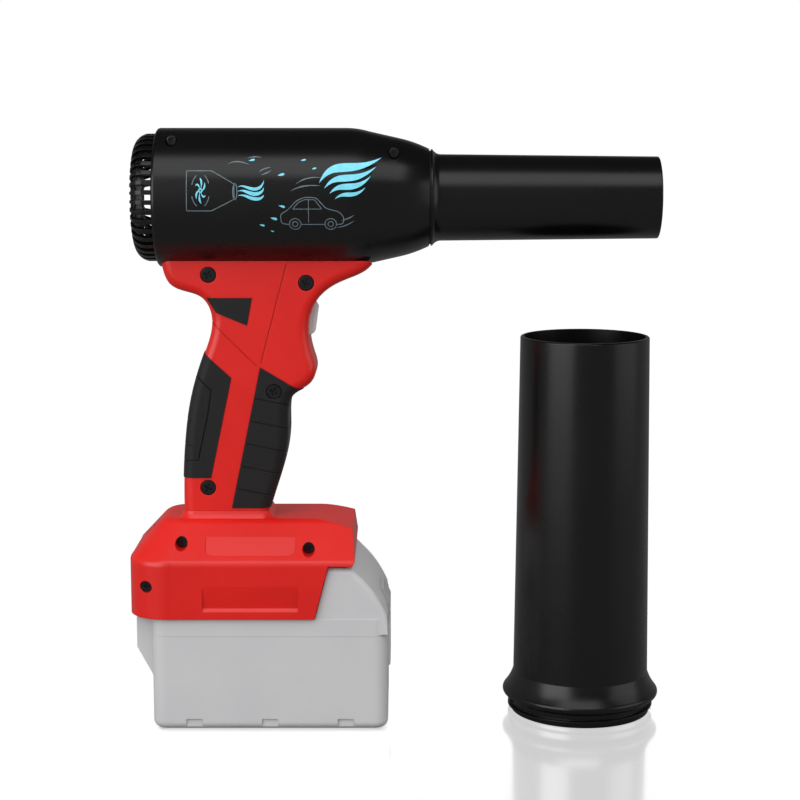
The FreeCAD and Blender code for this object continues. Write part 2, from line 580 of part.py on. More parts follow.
def handle():
    """Handle halves, the soft grips set into them, and their screws."""
    skin = handle_body(0)
    proud = handle_body(-GRIP_PROUD)
    bed = handle_body(GRIP_THICK)
    cavity = handle_body(HANDLE_WALL + 1.2)
    regions = {"front_grip": FRONT_GRIP, "rear_grip": REAR_GRIP, "web_pad": WEB_PAD}
    nests = [slab(points, 60) for points in regions.values()]
    solid = skin.cut(cavity)
    posts = [rod(BOSS_R, V(x, -HANDLE_HALF + 1.5, z), V(x, HANDLE_HALF - 1.5, z)) for x, z in HANDLE_SCREWS]
    posts += [box(SWITCH_REAR + 1, SWITCH_FRONT - 1, s * SWITCH_HALF if s > 0 else -HANDLE_HALF + 1,
                  HANDLE_HALF - 1 if s > 0 else -SWITCH_HALF, z, z + 2.5)
              for s in (1, -1) for z in (194.0, 207.0)]
    gap = LUG_HALF + 0.2
    posts[0:2] = [p.cut(box(-200, 200, -gap, gap, 0, 400)) for p in posts[0:2]]
    solid = fuse([solid] + [p.common(skin) for p in posts])
    for nest in nests:
        solid = solid.cut(nest.cut(bed))
    solid = trim_handle(solid, SEAT_GAP / 2)
    groove = handle_body(HANDLE_WALL + 0.4).common(
        box(-80, 60, -30, 30, SPIGOT_LIP[0] - SEAT_GAP, SPIGOT_LIP[1] + SEAT_GAP))
    solid = solid.cut(groove)
    lugs = [rod(BOSS_R + 2.3, V(x, -gap, z), V(x, gap, z)) for x, z in LUG_SCREWS]
    lugs += [box(x - BOSS_R - 2.3, x + BOSS_R + 2.3, -gap, gap, z, SADDLE_Z) for x, z in LUG_SCREWS]
    lip = box(15.7, 40.3, -9.3, 9.3, BARREL_Z - BARREL_R - 2, SADDLE_Z)
    solid = solid.cut(Part.makeCompound(lugs)).cut(lip)
    solid = solid.cut(Part.makeCompound(line_cuts(SEAMS, SEAM_DEEP)))
    for x, z in HANDLE_SCREWS:
        solid = solid.cut(screw_cut(x, z, HANDLE_HALF, SCREW_HEAD_R))
    window = TRIGGER_HALF + TRIGGER_GAP
    solid = solid.cut(box(8, 40, -window, window, TRIGGER_LOW - TRIGGER_GAP, TRIGGER_HIGH + TRIGGER_GAP))
    for name, sign in (("right", -1), ("left", 1)):
        save("handle_shell_" + name, side(solid, sign))
    grooves = {"front_grip": Part.makeCompound(line_cuts(grip_lines(), GROOVE_DEEP - GRIP_PROUD)),
               "rear_grip": Part.makeCompound(line_cuts(panel_lines(), GROOVE_DEEP - GRIP_PROUD))}
    for key, points in regions.items():
        for name, sign in (("right", -1), ("left", 1)):
            piece = side(proud.common(slab(points, 60)).cut(bed), sign)
            piece = trim_handle(piece, SEAT_GAP)
            if key in grooves:
                piece = piece.cut(grooves[key])
            for x, z in HANDLE_SCREWS:
                piece = piece.cut(screw_cut(x, z, HANDLE_HALF, SCREW_HEAD_R))
            big = max(piece.Solids, key=lambda s: s.Volume)
            save(key + "_" + name, big)
    save("handle_screws", *[screw(x, z, HANDLE_HALF, SCREW_HEAD_R) for x, z in HANDLE_SCREWS])


def line_cuts(lines, depth):
    """Grooves that follow lines of (x, z) points round the handle's skin, down to depth."""
    core = handle_body(depth)
    cuts = []
    for points in lines:
        for (x0, z0), (x1, z1) in zip(points, points[1:]):
            along = V(x1 - x0, 0, z1 - z0).normalize() * (SEAM_WIDE / 2)
            strip = [(x0 - along.x - along.z, z0 - along.z + along.x),
                     (x1 + along.x - along.z, z1 + along.z + along.x),
                     (x1 + along.x + along.z, z1 + along.z - along.x),
                     (x0 - along.x + along.z, z0 - along.z - along.x)]
            cuts.append(slab(strip, 60).cut(core))
    return cuts


def grip_lines():
    """The grooves across the front grip: each runs from near its rear edge round the front."""
    fall = math.tan(math.radians(GRIP_LINE_FALL))
    return [[(x, z), (x + 45, z - 45 * fall)] for x, z in GRIP_LINES]


def panel_lines():
    """The rear grip's raised panel: its outline, and notches across the back."""
    return [REAR_PANEL] + [[(-60, z), (REAR_LINE[8][0], z)] for z in REAR_NOTCHES]


# ---- trigger ------------------------------------------------------------------------------
TRIGGER_LOW = 195.6
TRIGGER_HIGH = 211.6
PLUNGER_Z = 203.6
PLUNGER_R = 2.4
SPRING_R = 3.4              # radius of both springs' coils, to the middle of the wire
SPRING_WIRE_R = 0.42
SPRING_POCKET_R = 4.3       # pocket in the trigger's back round its spring
SPRING_SEAT = 20.0          # bottom of that pocket


def spring_on(seat, length, turns, axis):
    """A coil spring of the given length standing on its seat along +X or +Z."""
    end = SPRING_WIRE_R + 0.05
    coil = Part.makeHelix((length - 2 * end) / turns, length - 2 * end, SPRING_R)
    ring = Part.Wire(Part.makeCircle(SPRING_WIRE_R, V(SPRING_R, 0, 0), Y))
    spring = Part.Wire(coil.Edges).makePipeShell([ring], True, True)
    spring.translate(V(0, 0, end))
    if axis == X:
        spring.rotate(V(0, 0, 0), Y, 90)
    spring.translate(seat)
    return spring


def trigger():
    """The trigger with its plunger, the return spring and the switch that they work."""
    back = SWITCH_FRONT + TRIGGER_TRAVEL + 1.2
    body = slab([(back, TRIGGER_LOW), (back, TRIGGER_HIGH), (22.8, TRIGGER_HIGH), (24.0, 209.4),
                 (22.3, 197.2), (20.4, TRIGGER_LOW)], TRIGGER_HALF)
    edges = [e for e in body.Edges if e.BoundBox.XMin > 19 and e.BoundBox.YLength < 0.01]
    body = body.makeFillet(1.4, edges)
    body = body.cut(rod(SPRING_POCKET_R, V(back - 1, 0, PLUNGER_Z), V(SPRING_SEAT, 0, PLUNGER_Z)))
    plunger = rod(PLUNGER_R, V(SWITCH_FRONT - 5.5, 0, PLUNGER_Z), V(SPRING_SEAT + 1, 0, PLUNGER_Z))
    save("trigger", body.fuse(plunger))
    half = SWITCH_HALF - 0.05
    switch = box(SWITCH_REAR, SWITCH_FRONT, -half, half, SWITCH_LOW, SWITCH_LOW + 21)
    switch = switch.cut(rod(PLUNGER_R + RUN_GAP, V(-4.0, 0, PLUNGER_Z), V(SWITCH_FRONT + 1, 0, PLUNGER_Z)))
    save("trigger_switch", switch)
    save("trigger_spring", spring_on(V(SWITCH_FRONT, 0, PLUNGER_Z), SPRING_SEAT - SWITCH_FRONT, 4.5, X))


# ---- foot ---------------------------------------------------------------------------------
FOOT_SCREWS = [(-43.8, 94.0), (-61.0, 73.5), (19.6, 91.6)]
FOOT_CORNER = 22.0          # how far the plan's rear corners are cut in along X
FOOT_LONG = 70.0            # how far the body runs before the nose is cut
FOOT_TOP_REAR = -54.4       # rear end of the flat top
FOOT_TOP_CORNER = 13.0
CREASE_ROUND = 4.0
RIDGE_ROUND = 7.0
RAIL_LOW = 60.3
RAIL_HIGH = 63.7
RAIL_TIP = 27.3             # how near the mid-plane the rails reach
BOARD_Z = 82.5
BOARD_THICK = 1.6
SPIGOT_TOP = 114.0
SPIGOT_LIP = (110.1, 112.0)
LABEL_Z = 92.9              # height of the middle of the label panel
LABEL_LEAN = 4.5            # degrees by which the panel leans out of the slope
BLADES_Y = (-12.0, -4.0, 4.0, 12.0)


def foot_outline(z, half, rear, corner):
    """The foot's outline at one height: long past the nose, round at the two rear corners."""
    near, far = 0.26 * corner, 0.24 * corner
    return wire_of([V(FOOT_LONG, -half, z), V(FOOT_LONG, half, z), V(rear + corner, half, z),
                    ("arc", V(rear + far, half - near, z), V(rear, half - corner, z)),
                    V(rear, -half + corner, z),
                    ("arc", V(rear + far, -half + near, z), V(rear + corner, -half, z))])


def foot_body(inset):
    """The foot as a solid: upright below the crease, drawn in to its top above it, cut at the nose."""
    i = inset
    half, rear, nose = FOOT_HALF - i, FOOT_REAR + i, NOSE_X - i
    low = FOOT_BOTTOM if inset == 0 else FOOT_BOTTOM - 5
    crease, top = FOOT_CREASE - 0.45 * i, FOOT_TOP - i
    base = Part.Face(foot_outline(low, half, rear, FOOT_CORNER)).extrude(V(0, 0, crease - low))
    shoulder = Part.makeLoft([foot_outline(crease, half, rear, FOOT_CORNER),
                              foot_outline(top, FOOT_TOP_HALF - 0.45 * i, FOOT_TOP_REAR + 0.45 * i,
                                           FOOT_TOP_CORNER)], True, True)
    skin = base.fuse(shoulder).removeSplitter()
    if inset == 0:
        for level, radius in ((FOOT_CREASE, CREASE_ROUND), (FOOT_TOP, RIDGE_ROUND)):
            rim = [e for e in skin.Edges if abs(e.BoundBox.ZMin - level) < 0.01
                   and e.BoundBox.ZLength < 0.01 and e.BoundBox.XMin < FOOT_LONG - 1]
            skin = skin.makeFillet(radius, rim)
    front = slab([(-90, low - 1), (-90, 120), (14.0, 120), (14.0, FOOT_TOP - i + 0.3),
                  ("arc", (30.0, 102.9 - i), (nose - 1.2, 99.8 - i)),
                  (nose, 86.5), (nose - 1.2, 84.4 + i), (29.5 - i, 84.4 + i), (22.4 - i, FOOT_BOTTOM),
                  (22.4 - i, low - 1)], 60)
    return skin.common(front)


def collar():
    """The raised neck of the foot: it carries the handle and flares out into the shoulders."""
    def ring(z, out, half):
        plate = box(rear - out, front + out, -half, half, z - 1, z)
        upright = [e for e in plate.Edges if e.BoundBox.ZLength > 0.9]
        plate = plate.makeFillet(HANDLE_ROUND + 0.4 * out, upright)
        return [f for f in plate.Faces if f.BoundBox.ZMin > z - 0.01][0].OuterWire
    rear, front = REAR_LINE[-1][0] - 0.2, FRONT_LINE[0][0] + 2.2
    steps = [(HANDLE_BASE, 0.1, 0.0), (HANDLE_BASE - 2.0, 1.0, 0.8), (FOOT_TOP - 0.7, 3.4, 2.6),
             (FOOT_TOP - 2.3, 7.0, 5.6), (FOOT_TOP - 4.6, 10.5, 7.6)]
    return Part.makeLoft([ring(z, out, HANDLE_HALF + wide) for z, out, wide in steps], True, False)


def foot():
    """The foot's halves with battery rails, screw posts, board ribs, neck spigot and screws."""
    skin = foot_body(0)
    shell = skin.cut(foot_body(FOOT_WALL))
    neck = collar()
    throat = handle_body(HANDLE_WALL + 3.4).common(box(-80, 60, -30, 30, 90, 140))
    spigot = handle_body(HANDLE_WALL + 1.4).common(box(-80, 60, -30, 30, HANDLE_BASE - 3, SPIGOT_TOP))
    lip = handle_body(HANDLE_WALL + 0.5).common(box(-80, 60, -30, 30, *SPIGOT_LIP))
    rails = [box(-54, 16, s * RAIL_TIP if s > 0 else -FOOT_HALF + 1, FOOT_HALF - 1 if s > 0 else -RAIL_TIP,
                 RAIL_LOW, RAIL_HIGH) for s in (1, -1)]
    ribs = [box(8, 11, 17 if s > 0 else -FOOT_HALF + 1, FOOT_HALF - 1 if s > 0 else -17, 79.5, BOARD_Z)
            for s in (1, -1)]
    ribs += [box(-50, -46, 24.1 if s > 0 else -FOOT_HALF + 1, FOOT_HALF - 1 if s > 0 else -24.1, 73, 79)
             for s in (1, -1)]
    posts = [rod(BOSS_R, V(x, -FOOT_HALF + 2, z), V(x, FOOT_HALF - 2, z)) for x, z in FOOT_SCREWS]
    inside = [p.common(skin) for p in rails + ribs + posts]
    shell = fuse([shell, neck] + inside + [spigot, lip])
    shell = shell.cut(throat)
    shell = shell.cut(box(10, 30, -BLOCK_HALF - 0.6, BLOCK_HALF + 0.6, FOOT_BOTTOM - 1, BLOCK_TOP + 0.6))
    for x, z in FOOT_SCREWS:
        head = rod(FOOT_SCREW_R, V(x, -60, z), V(x, -foot_seat(z), z))
        shell = shell.cut(head).cut(rod(SCREW_R + SEAT_GAP, V(x, -FOOT_HALF, z), V(x, 14, z)))
    shell = shell.cut(label_recess()).cut(side_recess(1)).cut(side_recess(-1)).cut(lanyard_slot())
    for name, sign in (("right", -1), ("left", 1)):
        save("foot_shell_" + name, side(shell, sign))
    screws = []
    for x, z in FOOT_SCREWS:
        seat = foot_seat(z)
        head = rod(FOOT_SCREW_R - 0.3, V(x, -seat - SCREW_HEAD_LONG, z), V(x, -seat, z))
        cross = box(x - 1.6, x + 1.6, -seat - 3, -seat - 1, z - 0.4, z + 0.4)
        cross = cross.fuse(box(x - 0.4, x + 0.4, -seat - 3, -seat - 1, z - 1.6, z + 1.6))
        screws.append(head.fuse(rod(SCREW_R, V(x, -seat - 0.1, z), V(x, 12, z))).cut(cross))
    save("foot_screws", *screws)


def foot_seat(z):
    """Where a foot screw's head seats, measured from the mid-plane."""
    slope = (FOOT_HALF - FOOT_TOP_HALF) / (FOOT_TOP - FOOT_CREASE)
    face = FOOT_HALF - max(0.0, z - FOOT_CREASE) * slope
    return face - 7.0


def label_recess():
    """A shallow plain panel in each sloping side, flush at its top and deepest at its lower edge."""
    cuts = []
    for sign in (-1, 1):
        tilt = math.degrees(math.atan2(FOOT_TOP - FOOT_CREASE, FOOT_HALF - FOOT_TOP_HALF)) + LABEL_LEAN
        panel = box(-31.8, 12.9, -5.8, 5.8, -0.5, 3)
        panel = panel.makeFillet(4.0, [e for e in panel.Edges if e.BoundBox.ZLength > 3
                                       and sign * e.BoundBox.YMin > 5])
        panel.rotate(V(0, 0, 0), X, -sign * tilt)
        fall = (FOOT_HALF - FOOT_TOP_HALF) / (FOOT_TOP - FOOT_CREASE)
        panel.translate(V(0, sign * (FOOT_HALF - (LABEL_Z - FOOT_CREASE) * fall), LABEL_Z))
        cuts.append(panel)
    return Part.makeCompound(cuts)


def side_recess(sign):
    """A scoop in the foot's side: it starts flush and deepens down to a sloping ledge."""
    y = sign * FOOT_HALF
    ledge = wire_of([V(-33.0, y + sign * 0.1, 75.0), V(-33.0, y - sign * 1.3, 62.9),
                     V(-33.0, y + sign * 0.1, 61.2)])
    return Part.Face(ledge).extrude(V(47.5, 0, 0))


def lanyard_slot():
    """Two upright slots through the rear shoulder: a wrist strap loops round the bar between."""
    slots = []
    for y0 in (-9.0, 3.5):
        slot = box(-75, -56, y0, y0 + 5.5, 90.5, 98.5)
        slots.append(slot.makeFillet(2.0, [e for e in slot.Edges if e.BoundBox.XLength > 10]))
    return Part.makeCompound(slots)


def electronics():
    """Terminal block, its blades, the control board with its parts, and the wiring."""
    top = BOARD_Z
    block = box(-54, -30, -24, 24, 71.0, 79.5)
    feet = [box(x, x + 3, y, y + 3, 79.5, top) for x in (-54, -33) for y in (-18, 15)]
    block = fuse([block] + feet)
    save("terminal_block", block.cut(Part.makeCompound(
        [box(-52, -36, y - 0.4, y + 0.4, 70, 75) for y in BLADES_Y])))
    save("terminal_blades", *[box(-52, -36, y - 0.4, y + 0.4, 64.5, 75) for y in BLADES_Y])
    upper = top + BOARD_THICK
    save("control_board", box(-54, 14, -20, 20, top, upper))
    sink = box(-1, 13, -13, 13, upper, upper + 3)
    fins = [box(-1, 13, y, y + 1.2, upper + 2.9, upper + 8) for y in (-13, -9, -5, -1, 3, 7, 11.8)]
    save("board_heat_sink", fuse([sink] + fins))
    save("board_capacitors", *[rod(5.0, V(x, y, upper), V(x, y, upper + 12))
                               for x, y in ((-33, -7), (-33, 7), (-22, -7), (-22, 7))])
    save("phase_wires", *[phase_wire(y, upper) for y in WIRE_Y])
    leads = [rod(0.9, V(-10.0, y, upper), V(-10.0, y, SWITCH_LOW)) for y in (-3.0, 3.0)]
    save("switch_leads", *leads)


def phase_wire(y, low):
    """One motor wire: out of the end cap, down through the strut, then down the handle."""
    r = 0.9
    path = [V(MOTOR_FRONT - 2, y, BARREL_Z - 9.2), V(11.0, y, BARREL_Z - 9.2), V(11.0, y, 227.0),
            V(-15.0, y, 215.5), V(-15.0, y, low)]
    bars = [rod(r, a, b) for a, b in zip(path, path[1:])]
    knees = [Part.makeSphere(r, p) for p in path[1:-1]]
    return fuse(bars + knees)


# ---- battery ------------------------------------------------------------------------------
HALF_LONG = BATTERY_LONG / 2
DECK_Z = 57.0               # top of the battery's full-width body
BLOCK_TOP = 70.0
BLOCK_HALF = 30.0
BLOCK_REAR = -55.0
GROOVE_IN = RAIL_TIP - RAIL_GAP
CLIP_X = (-33.0, -29.6)     # the contacts at the inner end of the blade slots
CLIP_TOP = 67.0


def battery_cases():
    """The battery's lower tray and its upper cover with rail block and latch tower."""
    w, z0 = BATTERY_WALL, BATTERY_SHOULDER
    tray = box(-HALF_LONG, HALF_LONG, -BATTERY_HALF, BATTERY_HALF, 0, BATTERY_SHOULDER)
    upright = [e for e in tray.Edges if e.BoundBox.ZLength > 10]
    tray = tray.makeFillet(BATTERY_ROUND, upright)
    rim = [e for e in tray.Edges if e.BoundBox.ZMax < 0.01]
    tray = tray.makeFillet(4.0, rim)
    room = box(-HALF_LONG + w, HALF_LONG - w, -BATTERY_HALF + w, BATTERY_HALF - w, w, 60)
    room = room.makeFillet(BATTERY_ROUND - w, [e for e in room.Edges if e.BoundBox.ZLength > 10])
    tray = tray.cut(room)
    for x in (-38, 0, 38):
        for s in (-1, 1):
            tray = tray.cut(box(x - 4, x + 4, s * BATTERY_HALF - 0.8, s * BATTERY_HALF + 0.8, -1, 5.5))
    posts = [rod(3.2, V(x, y, w - 0.2), V(x, y, BATTERY_SHOULDER)) for x, y in PACK_SCREWS]
    plate = box(HALF_LONG - 0.5, HALF_LONG + 1.2, -16, 16, 27.0, z0 - 0.6)
    plate = plate.makeFillet(1.0, [e for e in plate.Edges if e.BoundBox.XMin > HALF_LONG + 1])
    tray = fuse([tray, plate] + posts)
    for x, y in PACK_SCREWS:
        tray = tray.cut(rod(2.9, V(x, y, -1), V(x, y, 2.1))).cut(rod(1.6, V(x, y, 0), V(x, y, 60)))
    save("battery_lower_case", tray)
    deck = box(-HALF_LONG, HALF_LONG, -BATTERY_HALF, BATTERY_HALF, z0, DECK_Z)
    deck = deck.makeFillet(BATTERY_ROUND, [e for e in deck.Edges if e.BoundBox.ZLength > 8])
    back = -HALF_LONG - 8.0
    ledge = slab([(-HALF_LONG - 0.05, 26), (back, 41), (back, DECK_Z - 1), (back + 1, DECK_Z),
                  (-HALF_LONG + 8, DECK_Z), (-HALF_LONG + 8, z0), (-HALF_LONG - 0.05, z0)], 30)
    block = box(BLOCK_REAR, 26, -BLOCK_HALF, BLOCK_HALF, DECK_Z - 3, BLOCK_TOP)
    front = HALF_LONG
    tower = slab([(front, z0 + 1), (front - 0.6, 58.9),
                  ("arc", (front - 5.2, 67.8), (front - 10.8, 75.2)), (front - 17.8, 82.3),
                  (29.5, 83.2), (22.6, DECK_Z), (22.6, z0 + 1)], BATTERY_HALF - 0.4)
    edge = [e for e in tower.Edges if e.BoundBox.YLength < 0.01 and e.BoundBox.ZMin > DECK_Z]
    tower = tower.makeFillet(3.0, edge)
    cover = fuse([deck, ledge, block, tower])
    hollow = box(-HALF_LONG + w, HALF_LONG - w, -BATTERY_HALF + w, BATTERY_HALF - w, z0 - 1, DECK_Z - w)
    inner_tower = slab([(front - w, z0), (front - w - 1, 58.3), (front - 12.8, 73.8), (front - 18.8, 79.9),
                        (31.4, 80.8), (25.2, DECK_Z - 3), (25.2, z0)], BATTERY_HALF - 0.4 - w)
    inner_block = box(BLOCK_REAR + 24, 26, -BLOCK_HALF + 5.6, BLOCK_HALF - 5.6, z0, BLOCK_TOP - w)
    cover = cover.cut(hollow).cut(inner_tower).cut(inner_block)
    for s in (-1, 1):
        cover = cover.cut(box(BLOCK_REAR - 1, 17.0, s * GROOVE_IN if s > 0 else -40,
                              40 if s > 0 else -GROOVE_IN, RAIL_LOW - RAIL_GAP, RAIL_HIGH + RAIL_GAP))
    slots = [box(BLOCK_REAR - 1, CLIP_X[0], y - 1.1, y + 1.1, 62.5, BLOCK_TOP + 1) for y in BLADES_Y]
    lugs = [rod(3.2, V(x, y, z0), V(x, y, DECK_Z - 1)) for x, y in PACK_SCREWS]
    slots += [box(CLIP_X[0] - 0.3, CLIP_X[1] + 0.3, y - 2.3, y + 2.3, z0 - 1, CLIP_TOP + 0.3)
              for y in BLADES_Y]
    cover = fuse([cover] + lugs).cut(Part.makeCompound(slots))
    for x, y in PACK_SCREWS:
        cover = cover.cut(rod(1.3, V(x, y, z0 - 1), V(x, y, z0 + 6)))
    save("battery_upper_case", cover.cut(latch_window()))
    screws = [rod(2.7, V(x, y, 0.4), V(x, y, 2.1)).fuse(rod(1.25, V(x, y, 2.0), V(x, y, z0 + 5)))
              for x, y in PACK_SCREWS]
    save("battery_screws", *screws)


CELL_ROWS = (BATTERY_WALL + 1.0 + CELL_R, BATTERY_WALL + 1.8 + 3 * CELL_R)
PACK_BOARD_Z = CELL_ROWS[1] + CELL_R + 2.0
PACK_SCREWS = [(x, y) for x in (6.0 - HALF_LONG, HALF_LONG - 6.0) for y in (-32.0, 32.0)]
LATCH_HALF = 12.0
LATCH_TRAVEL = 3.5
LATCH_GAP = 0.3
TOOTH_X = (33.0, 38.5)
LATCH_PAD = (52.4, 66.0)    # bottom and top of the thumb pad
LATCH_ARM_Z = 60.0


def latch_window():
    """Openings in the cover for the latch's tooth at the top of the tower and its thumb pad."""
    g = LATCH_GAP
    tooth = box(TOOTH_X[0] - g, TOOTH_X[1] + g, -9 - g, 9 + g, 76, 90)
    pad = box(HALF_LONG - 9, HALF_LONG + 5, -LATCH_HALF - g, LATCH_HALF + g,
              LATCH_PAD[0] - LATCH_TRAVEL - g, LATCH_PAD[1] + g)
    return tooth.fuse(pad)




def latch():
    """The battery's sprung latch: thumb pad at the front, tooth under the foot's nose."""
    inner, outer = HALF_LONG - 4.4, HALF_LONG + 1.2
    pad = slab([(inner, LATCH_PAD[0]), (inner, LATCH_PAD[1]), (inner + 2.0, LATCH_PAD[1]), (outer, 58.5),
                (outer, LATCH_PAD[0])], LATCH_HALF)
    arm = box(TOOTH_X[0] + 3, inner + 0.4, -8, 8, LATCH_ARM_Z, LATCH_ARM_Z + 2.5)
    stem = box(TOOTH_X[0], TOOTH_X[1], -9, 9, LATCH_ARM_Z, 83.8)
    save("battery_latch", fuse([pad, arm, stem]))
    low = PACK_BOARD_Z + BOARD_THICK
    save("latch_spring", spring_on(V(36.0, 0, low), LATCH_ARM_Z - low, 6, Z))


def battery_inside():
    """Cells, their holder, straps, board and contacts."""
    z_rows = CELL_ROWS
    pitch = 2 * CELL_R + CELL_GAP
    columns = [(i - (CELLS_LONG - 1) / 2) * pitch for i in range(CELLS_LONG)]
    places = [(x, z) for x in columns for z in z_rows]
    cells = [rod(CELL_R, V(x, -CELL_LONG / 2, z), V(x, CELL_LONG / 2, z)) for x, z in places]
    save("battery_cells", *cells)
    holes = Part.makeCompound([rod(CELL_R + 0.1, V(x, -40, z), V(x, 40, z)) for x, z in places])
    plates = []
    reach = columns[-1] + CELL_R + 2.0
    for s in (-1, 1):
        y0, y1 = sorted((s * 22.0, s * 27.0))
        plate = box(-reach, reach, y0, y1, BATTERY_WALL, PACK_BOARD_Z)
        plates.append(plate.cut(holes))
    save("cell_holder", *plates)
    straps = []
    for x in columns:
        for s in (-1, 1):
            y0, y1 = sorted((s * CELL_LONG / 2, s * (CELL_LONG / 2 + 0.3)))
            straps.append(box(x - 4, x + 4, y0, y1, z_rows[0] - 4, z_rows[1] + 4))
    save("cell_straps", *straps)
    z0 = PACK_BOARD_Z
    save("battery_board", box(1.5 - reach, reach - 7.5, -27, 27, z0, z0 + BOARD_THICK))
    clips = []
    for y in BLADES_Y:
        clips.append(box(CLIP_X[0], CLIP_X[1], y - 2.0, y + 2.0, z0 + BOARD_THICK, CLIP_TOP))
    save("battery_contacts", *clips)


def main():
    """Build every node."""
    os.makedirs("parts", exist_ok=True)
    barrel_shells()
    intake_grille()
    nozzle()
    wide_nozzle()
    fan_duct()
    motor()
    impeller()
    handle()
    trigger()
    foot()
    electronics()
    battery_cases()
    latch()
    battery_inside()


main()
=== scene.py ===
"""Looks of a cordless car dryer blower: finishes, surface marks, studio floor, light and camera.

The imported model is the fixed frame. Every size below is in metres unless its name ends in _mm.
"""
import logging
import math
from dataclasses import dataclass, field
from enum import Enum

import bpy
import numpy as np
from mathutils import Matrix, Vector


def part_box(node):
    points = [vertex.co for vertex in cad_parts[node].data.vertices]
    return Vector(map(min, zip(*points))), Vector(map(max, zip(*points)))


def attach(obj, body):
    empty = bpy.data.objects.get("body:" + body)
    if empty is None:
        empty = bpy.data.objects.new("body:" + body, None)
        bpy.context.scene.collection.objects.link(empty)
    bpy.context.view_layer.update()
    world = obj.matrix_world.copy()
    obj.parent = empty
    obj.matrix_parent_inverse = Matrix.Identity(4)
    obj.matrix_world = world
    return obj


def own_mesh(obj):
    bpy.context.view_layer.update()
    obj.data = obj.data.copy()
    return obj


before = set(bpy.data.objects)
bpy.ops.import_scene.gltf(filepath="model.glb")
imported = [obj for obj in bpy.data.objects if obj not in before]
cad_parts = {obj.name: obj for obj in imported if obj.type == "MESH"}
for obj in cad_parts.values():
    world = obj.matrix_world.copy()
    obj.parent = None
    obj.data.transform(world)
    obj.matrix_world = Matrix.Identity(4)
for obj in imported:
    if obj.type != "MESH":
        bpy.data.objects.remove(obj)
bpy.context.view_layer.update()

MM = 0.001
LOG = logging.getLogger("car_dryer_blower")


# ---- small helpers ------------------------------------------------------------------------
def linear(hex_colour: str) -> tuple[float, float, float, float]:
    """Turn an sRGB hex colour into the linear values that shaders take.

    Args:
        hex_colour: six hex digits.

    Returns:
        Linear red, green and blue, and an alpha of 1.
    """
    parts = np.array([int(hex_colour[i:i + 2], 16) / 255 for i in (0, 2, 4)])
    curve = np.where(parts <= 0.04045, parts / 12.92, ((parts + 0.055) / 1.055) ** 2.4)
    return (*map(float, curve), 1.0)


def add_node(
    tree: bpy.types.NodeTree,
    kind: str,
    settings: dict[str, object] | None = None,
    **inputs: object,
) -> bpy.types.Node:
    """Add one node, set its properties and fill or link its inputs.

    Args:
        tree: the node tree to add to.
        kind: the node's type name, such as ShaderNodeTexNoise.
        settings: properties of the node itself.
        **inputs: values for input sockets, or output sockets to link from. An underscore in a
            name stands for a space, and a name in_2 means the socket with index 2.

    Returns:
        The new node.
    """
    node = tree.nodes.new(kind)
    for name, value in (settings or {}).items():
        setattr(node, name, value)
    for name, value in inputs.items():
        socket = node.inputs[int(name[3:]) if name.startswith("in_") else name.replace("_", " ")]
        if isinstance(value, bpy.types.NodeSocket):
            tree.links.new(value, socket)
        else:
            socket.default_value = value
    return node


def grid_faces(rows: int, columns: int, first: int) -> np.ndarray:
    """Quads that join a grid of points, row by row.

    Args:
        rows: points along the first parameter.
        columns: points along the second parameter.
        first: index of the grid's first point.

    Returns:
        An array of four point indices per face.
    """
    i, j = np.meshgrid(np.arange(rows - 1), np.arange(columns - 1), indexing="ij")
    corner = i * columns + j
    quads = np.stack([corner, corner + 1, corner + columns + 1, corner + columns], axis=-1)
    return quads.reshape(-1, 4) + first


def make_piece(name: str, patches: list[np.ndarray], body: str,
               material: bpy.types.Material) -> None:
    """Make one piece from grids of points and let it ride on a body.

    Args:
        name: the object's name.
        patches: arrays of shape (rows, columns, 3), in metres in the object's own frame.
        body: the CAD body that carries the piece.
        material: the finish.
    """
    points, faces, first = [], [], 0
    for patch in patches:
        rows, columns = patch.shape[:2]
        points.append(patch.reshape(-1, 3))
        faces.append(grid_faces(rows, columns, first))
        first += rows * columns
    mesh = bpy.data.meshes.new(name)
    mesh.from_pydata(np.concatenate(points).tolist(), [], np.concatenate(faces).tolist())
    mesh.polygons.foreach_set("use_smooth", [True] * len(mesh.polygons))
    mesh.materials.append(material)
    mesh.update()
    piece = bpy.data.objects.new(name, mesh)
    bpy.context.scene.collection.objects.link(piece)
    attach(piece, body)
    LOG.info("made %s in %s", name, material.name)


# ---- finishes -----------------------------------------------------------------------------
def start_material(name: str) -> tuple[bpy.types.Material, bpy.types.NodeTree, bpy.types.Node,
                                       bpy.types.NodeSocket]:
    """Begin a node material.

    Args:
        name: the finish's plain name.

    Returns:
        The material, its tree, its Principled shader and the Object coordinate socket.
    """
    material = bpy.data.materials.new(name)
    material.use_nodes = True
    tree = material.node_tree
    shader = tree.nodes["Principled BSDF"]
    place = add_node(tree, "ShaderNodeTexCoord").outputs["Object"]
    return material, tree, shader, place


def vary(tree: bpy.types.NodeTree, shader: bpy.types.Node, pattern: bpy.types.NodeSocket,
         tones: tuple[str, str], places: tuple[float, float], roughness: tuple[float, float]) -> None:
    """Let a pattern blend two tones and shift the roughness, so that no face is one flat colour.

    Args:
        tree: the material's node tree.
        shader: its Principled shader.
        pattern: the socket that gives the pattern, from 0 to 1.
        tones: the hex colours at the pattern's low and high ends.
        places: where in the pattern the first tone ends and where the second is full.
        roughness: the roughness where the pattern is 0 and where it is 1.
    """
    blend = add_node(tree, "ShaderNodeValToRGB", Fac=pattern)
    for stop, place, tone in zip(blend.color_ramp.elements, places, tones):
        stop.position = place
        stop.color = linear(tone)
    rough = add_node(tree, "ShaderNodeMapRange", Value=pattern, To_Min=roughness[0], To_Max=roughness[1])
    tree.links.new(blend.outputs["Color"], shader.inputs["Base Color"])
    tree.links.new(rough.outputs["Result"], shader.inputs["Roughness"])


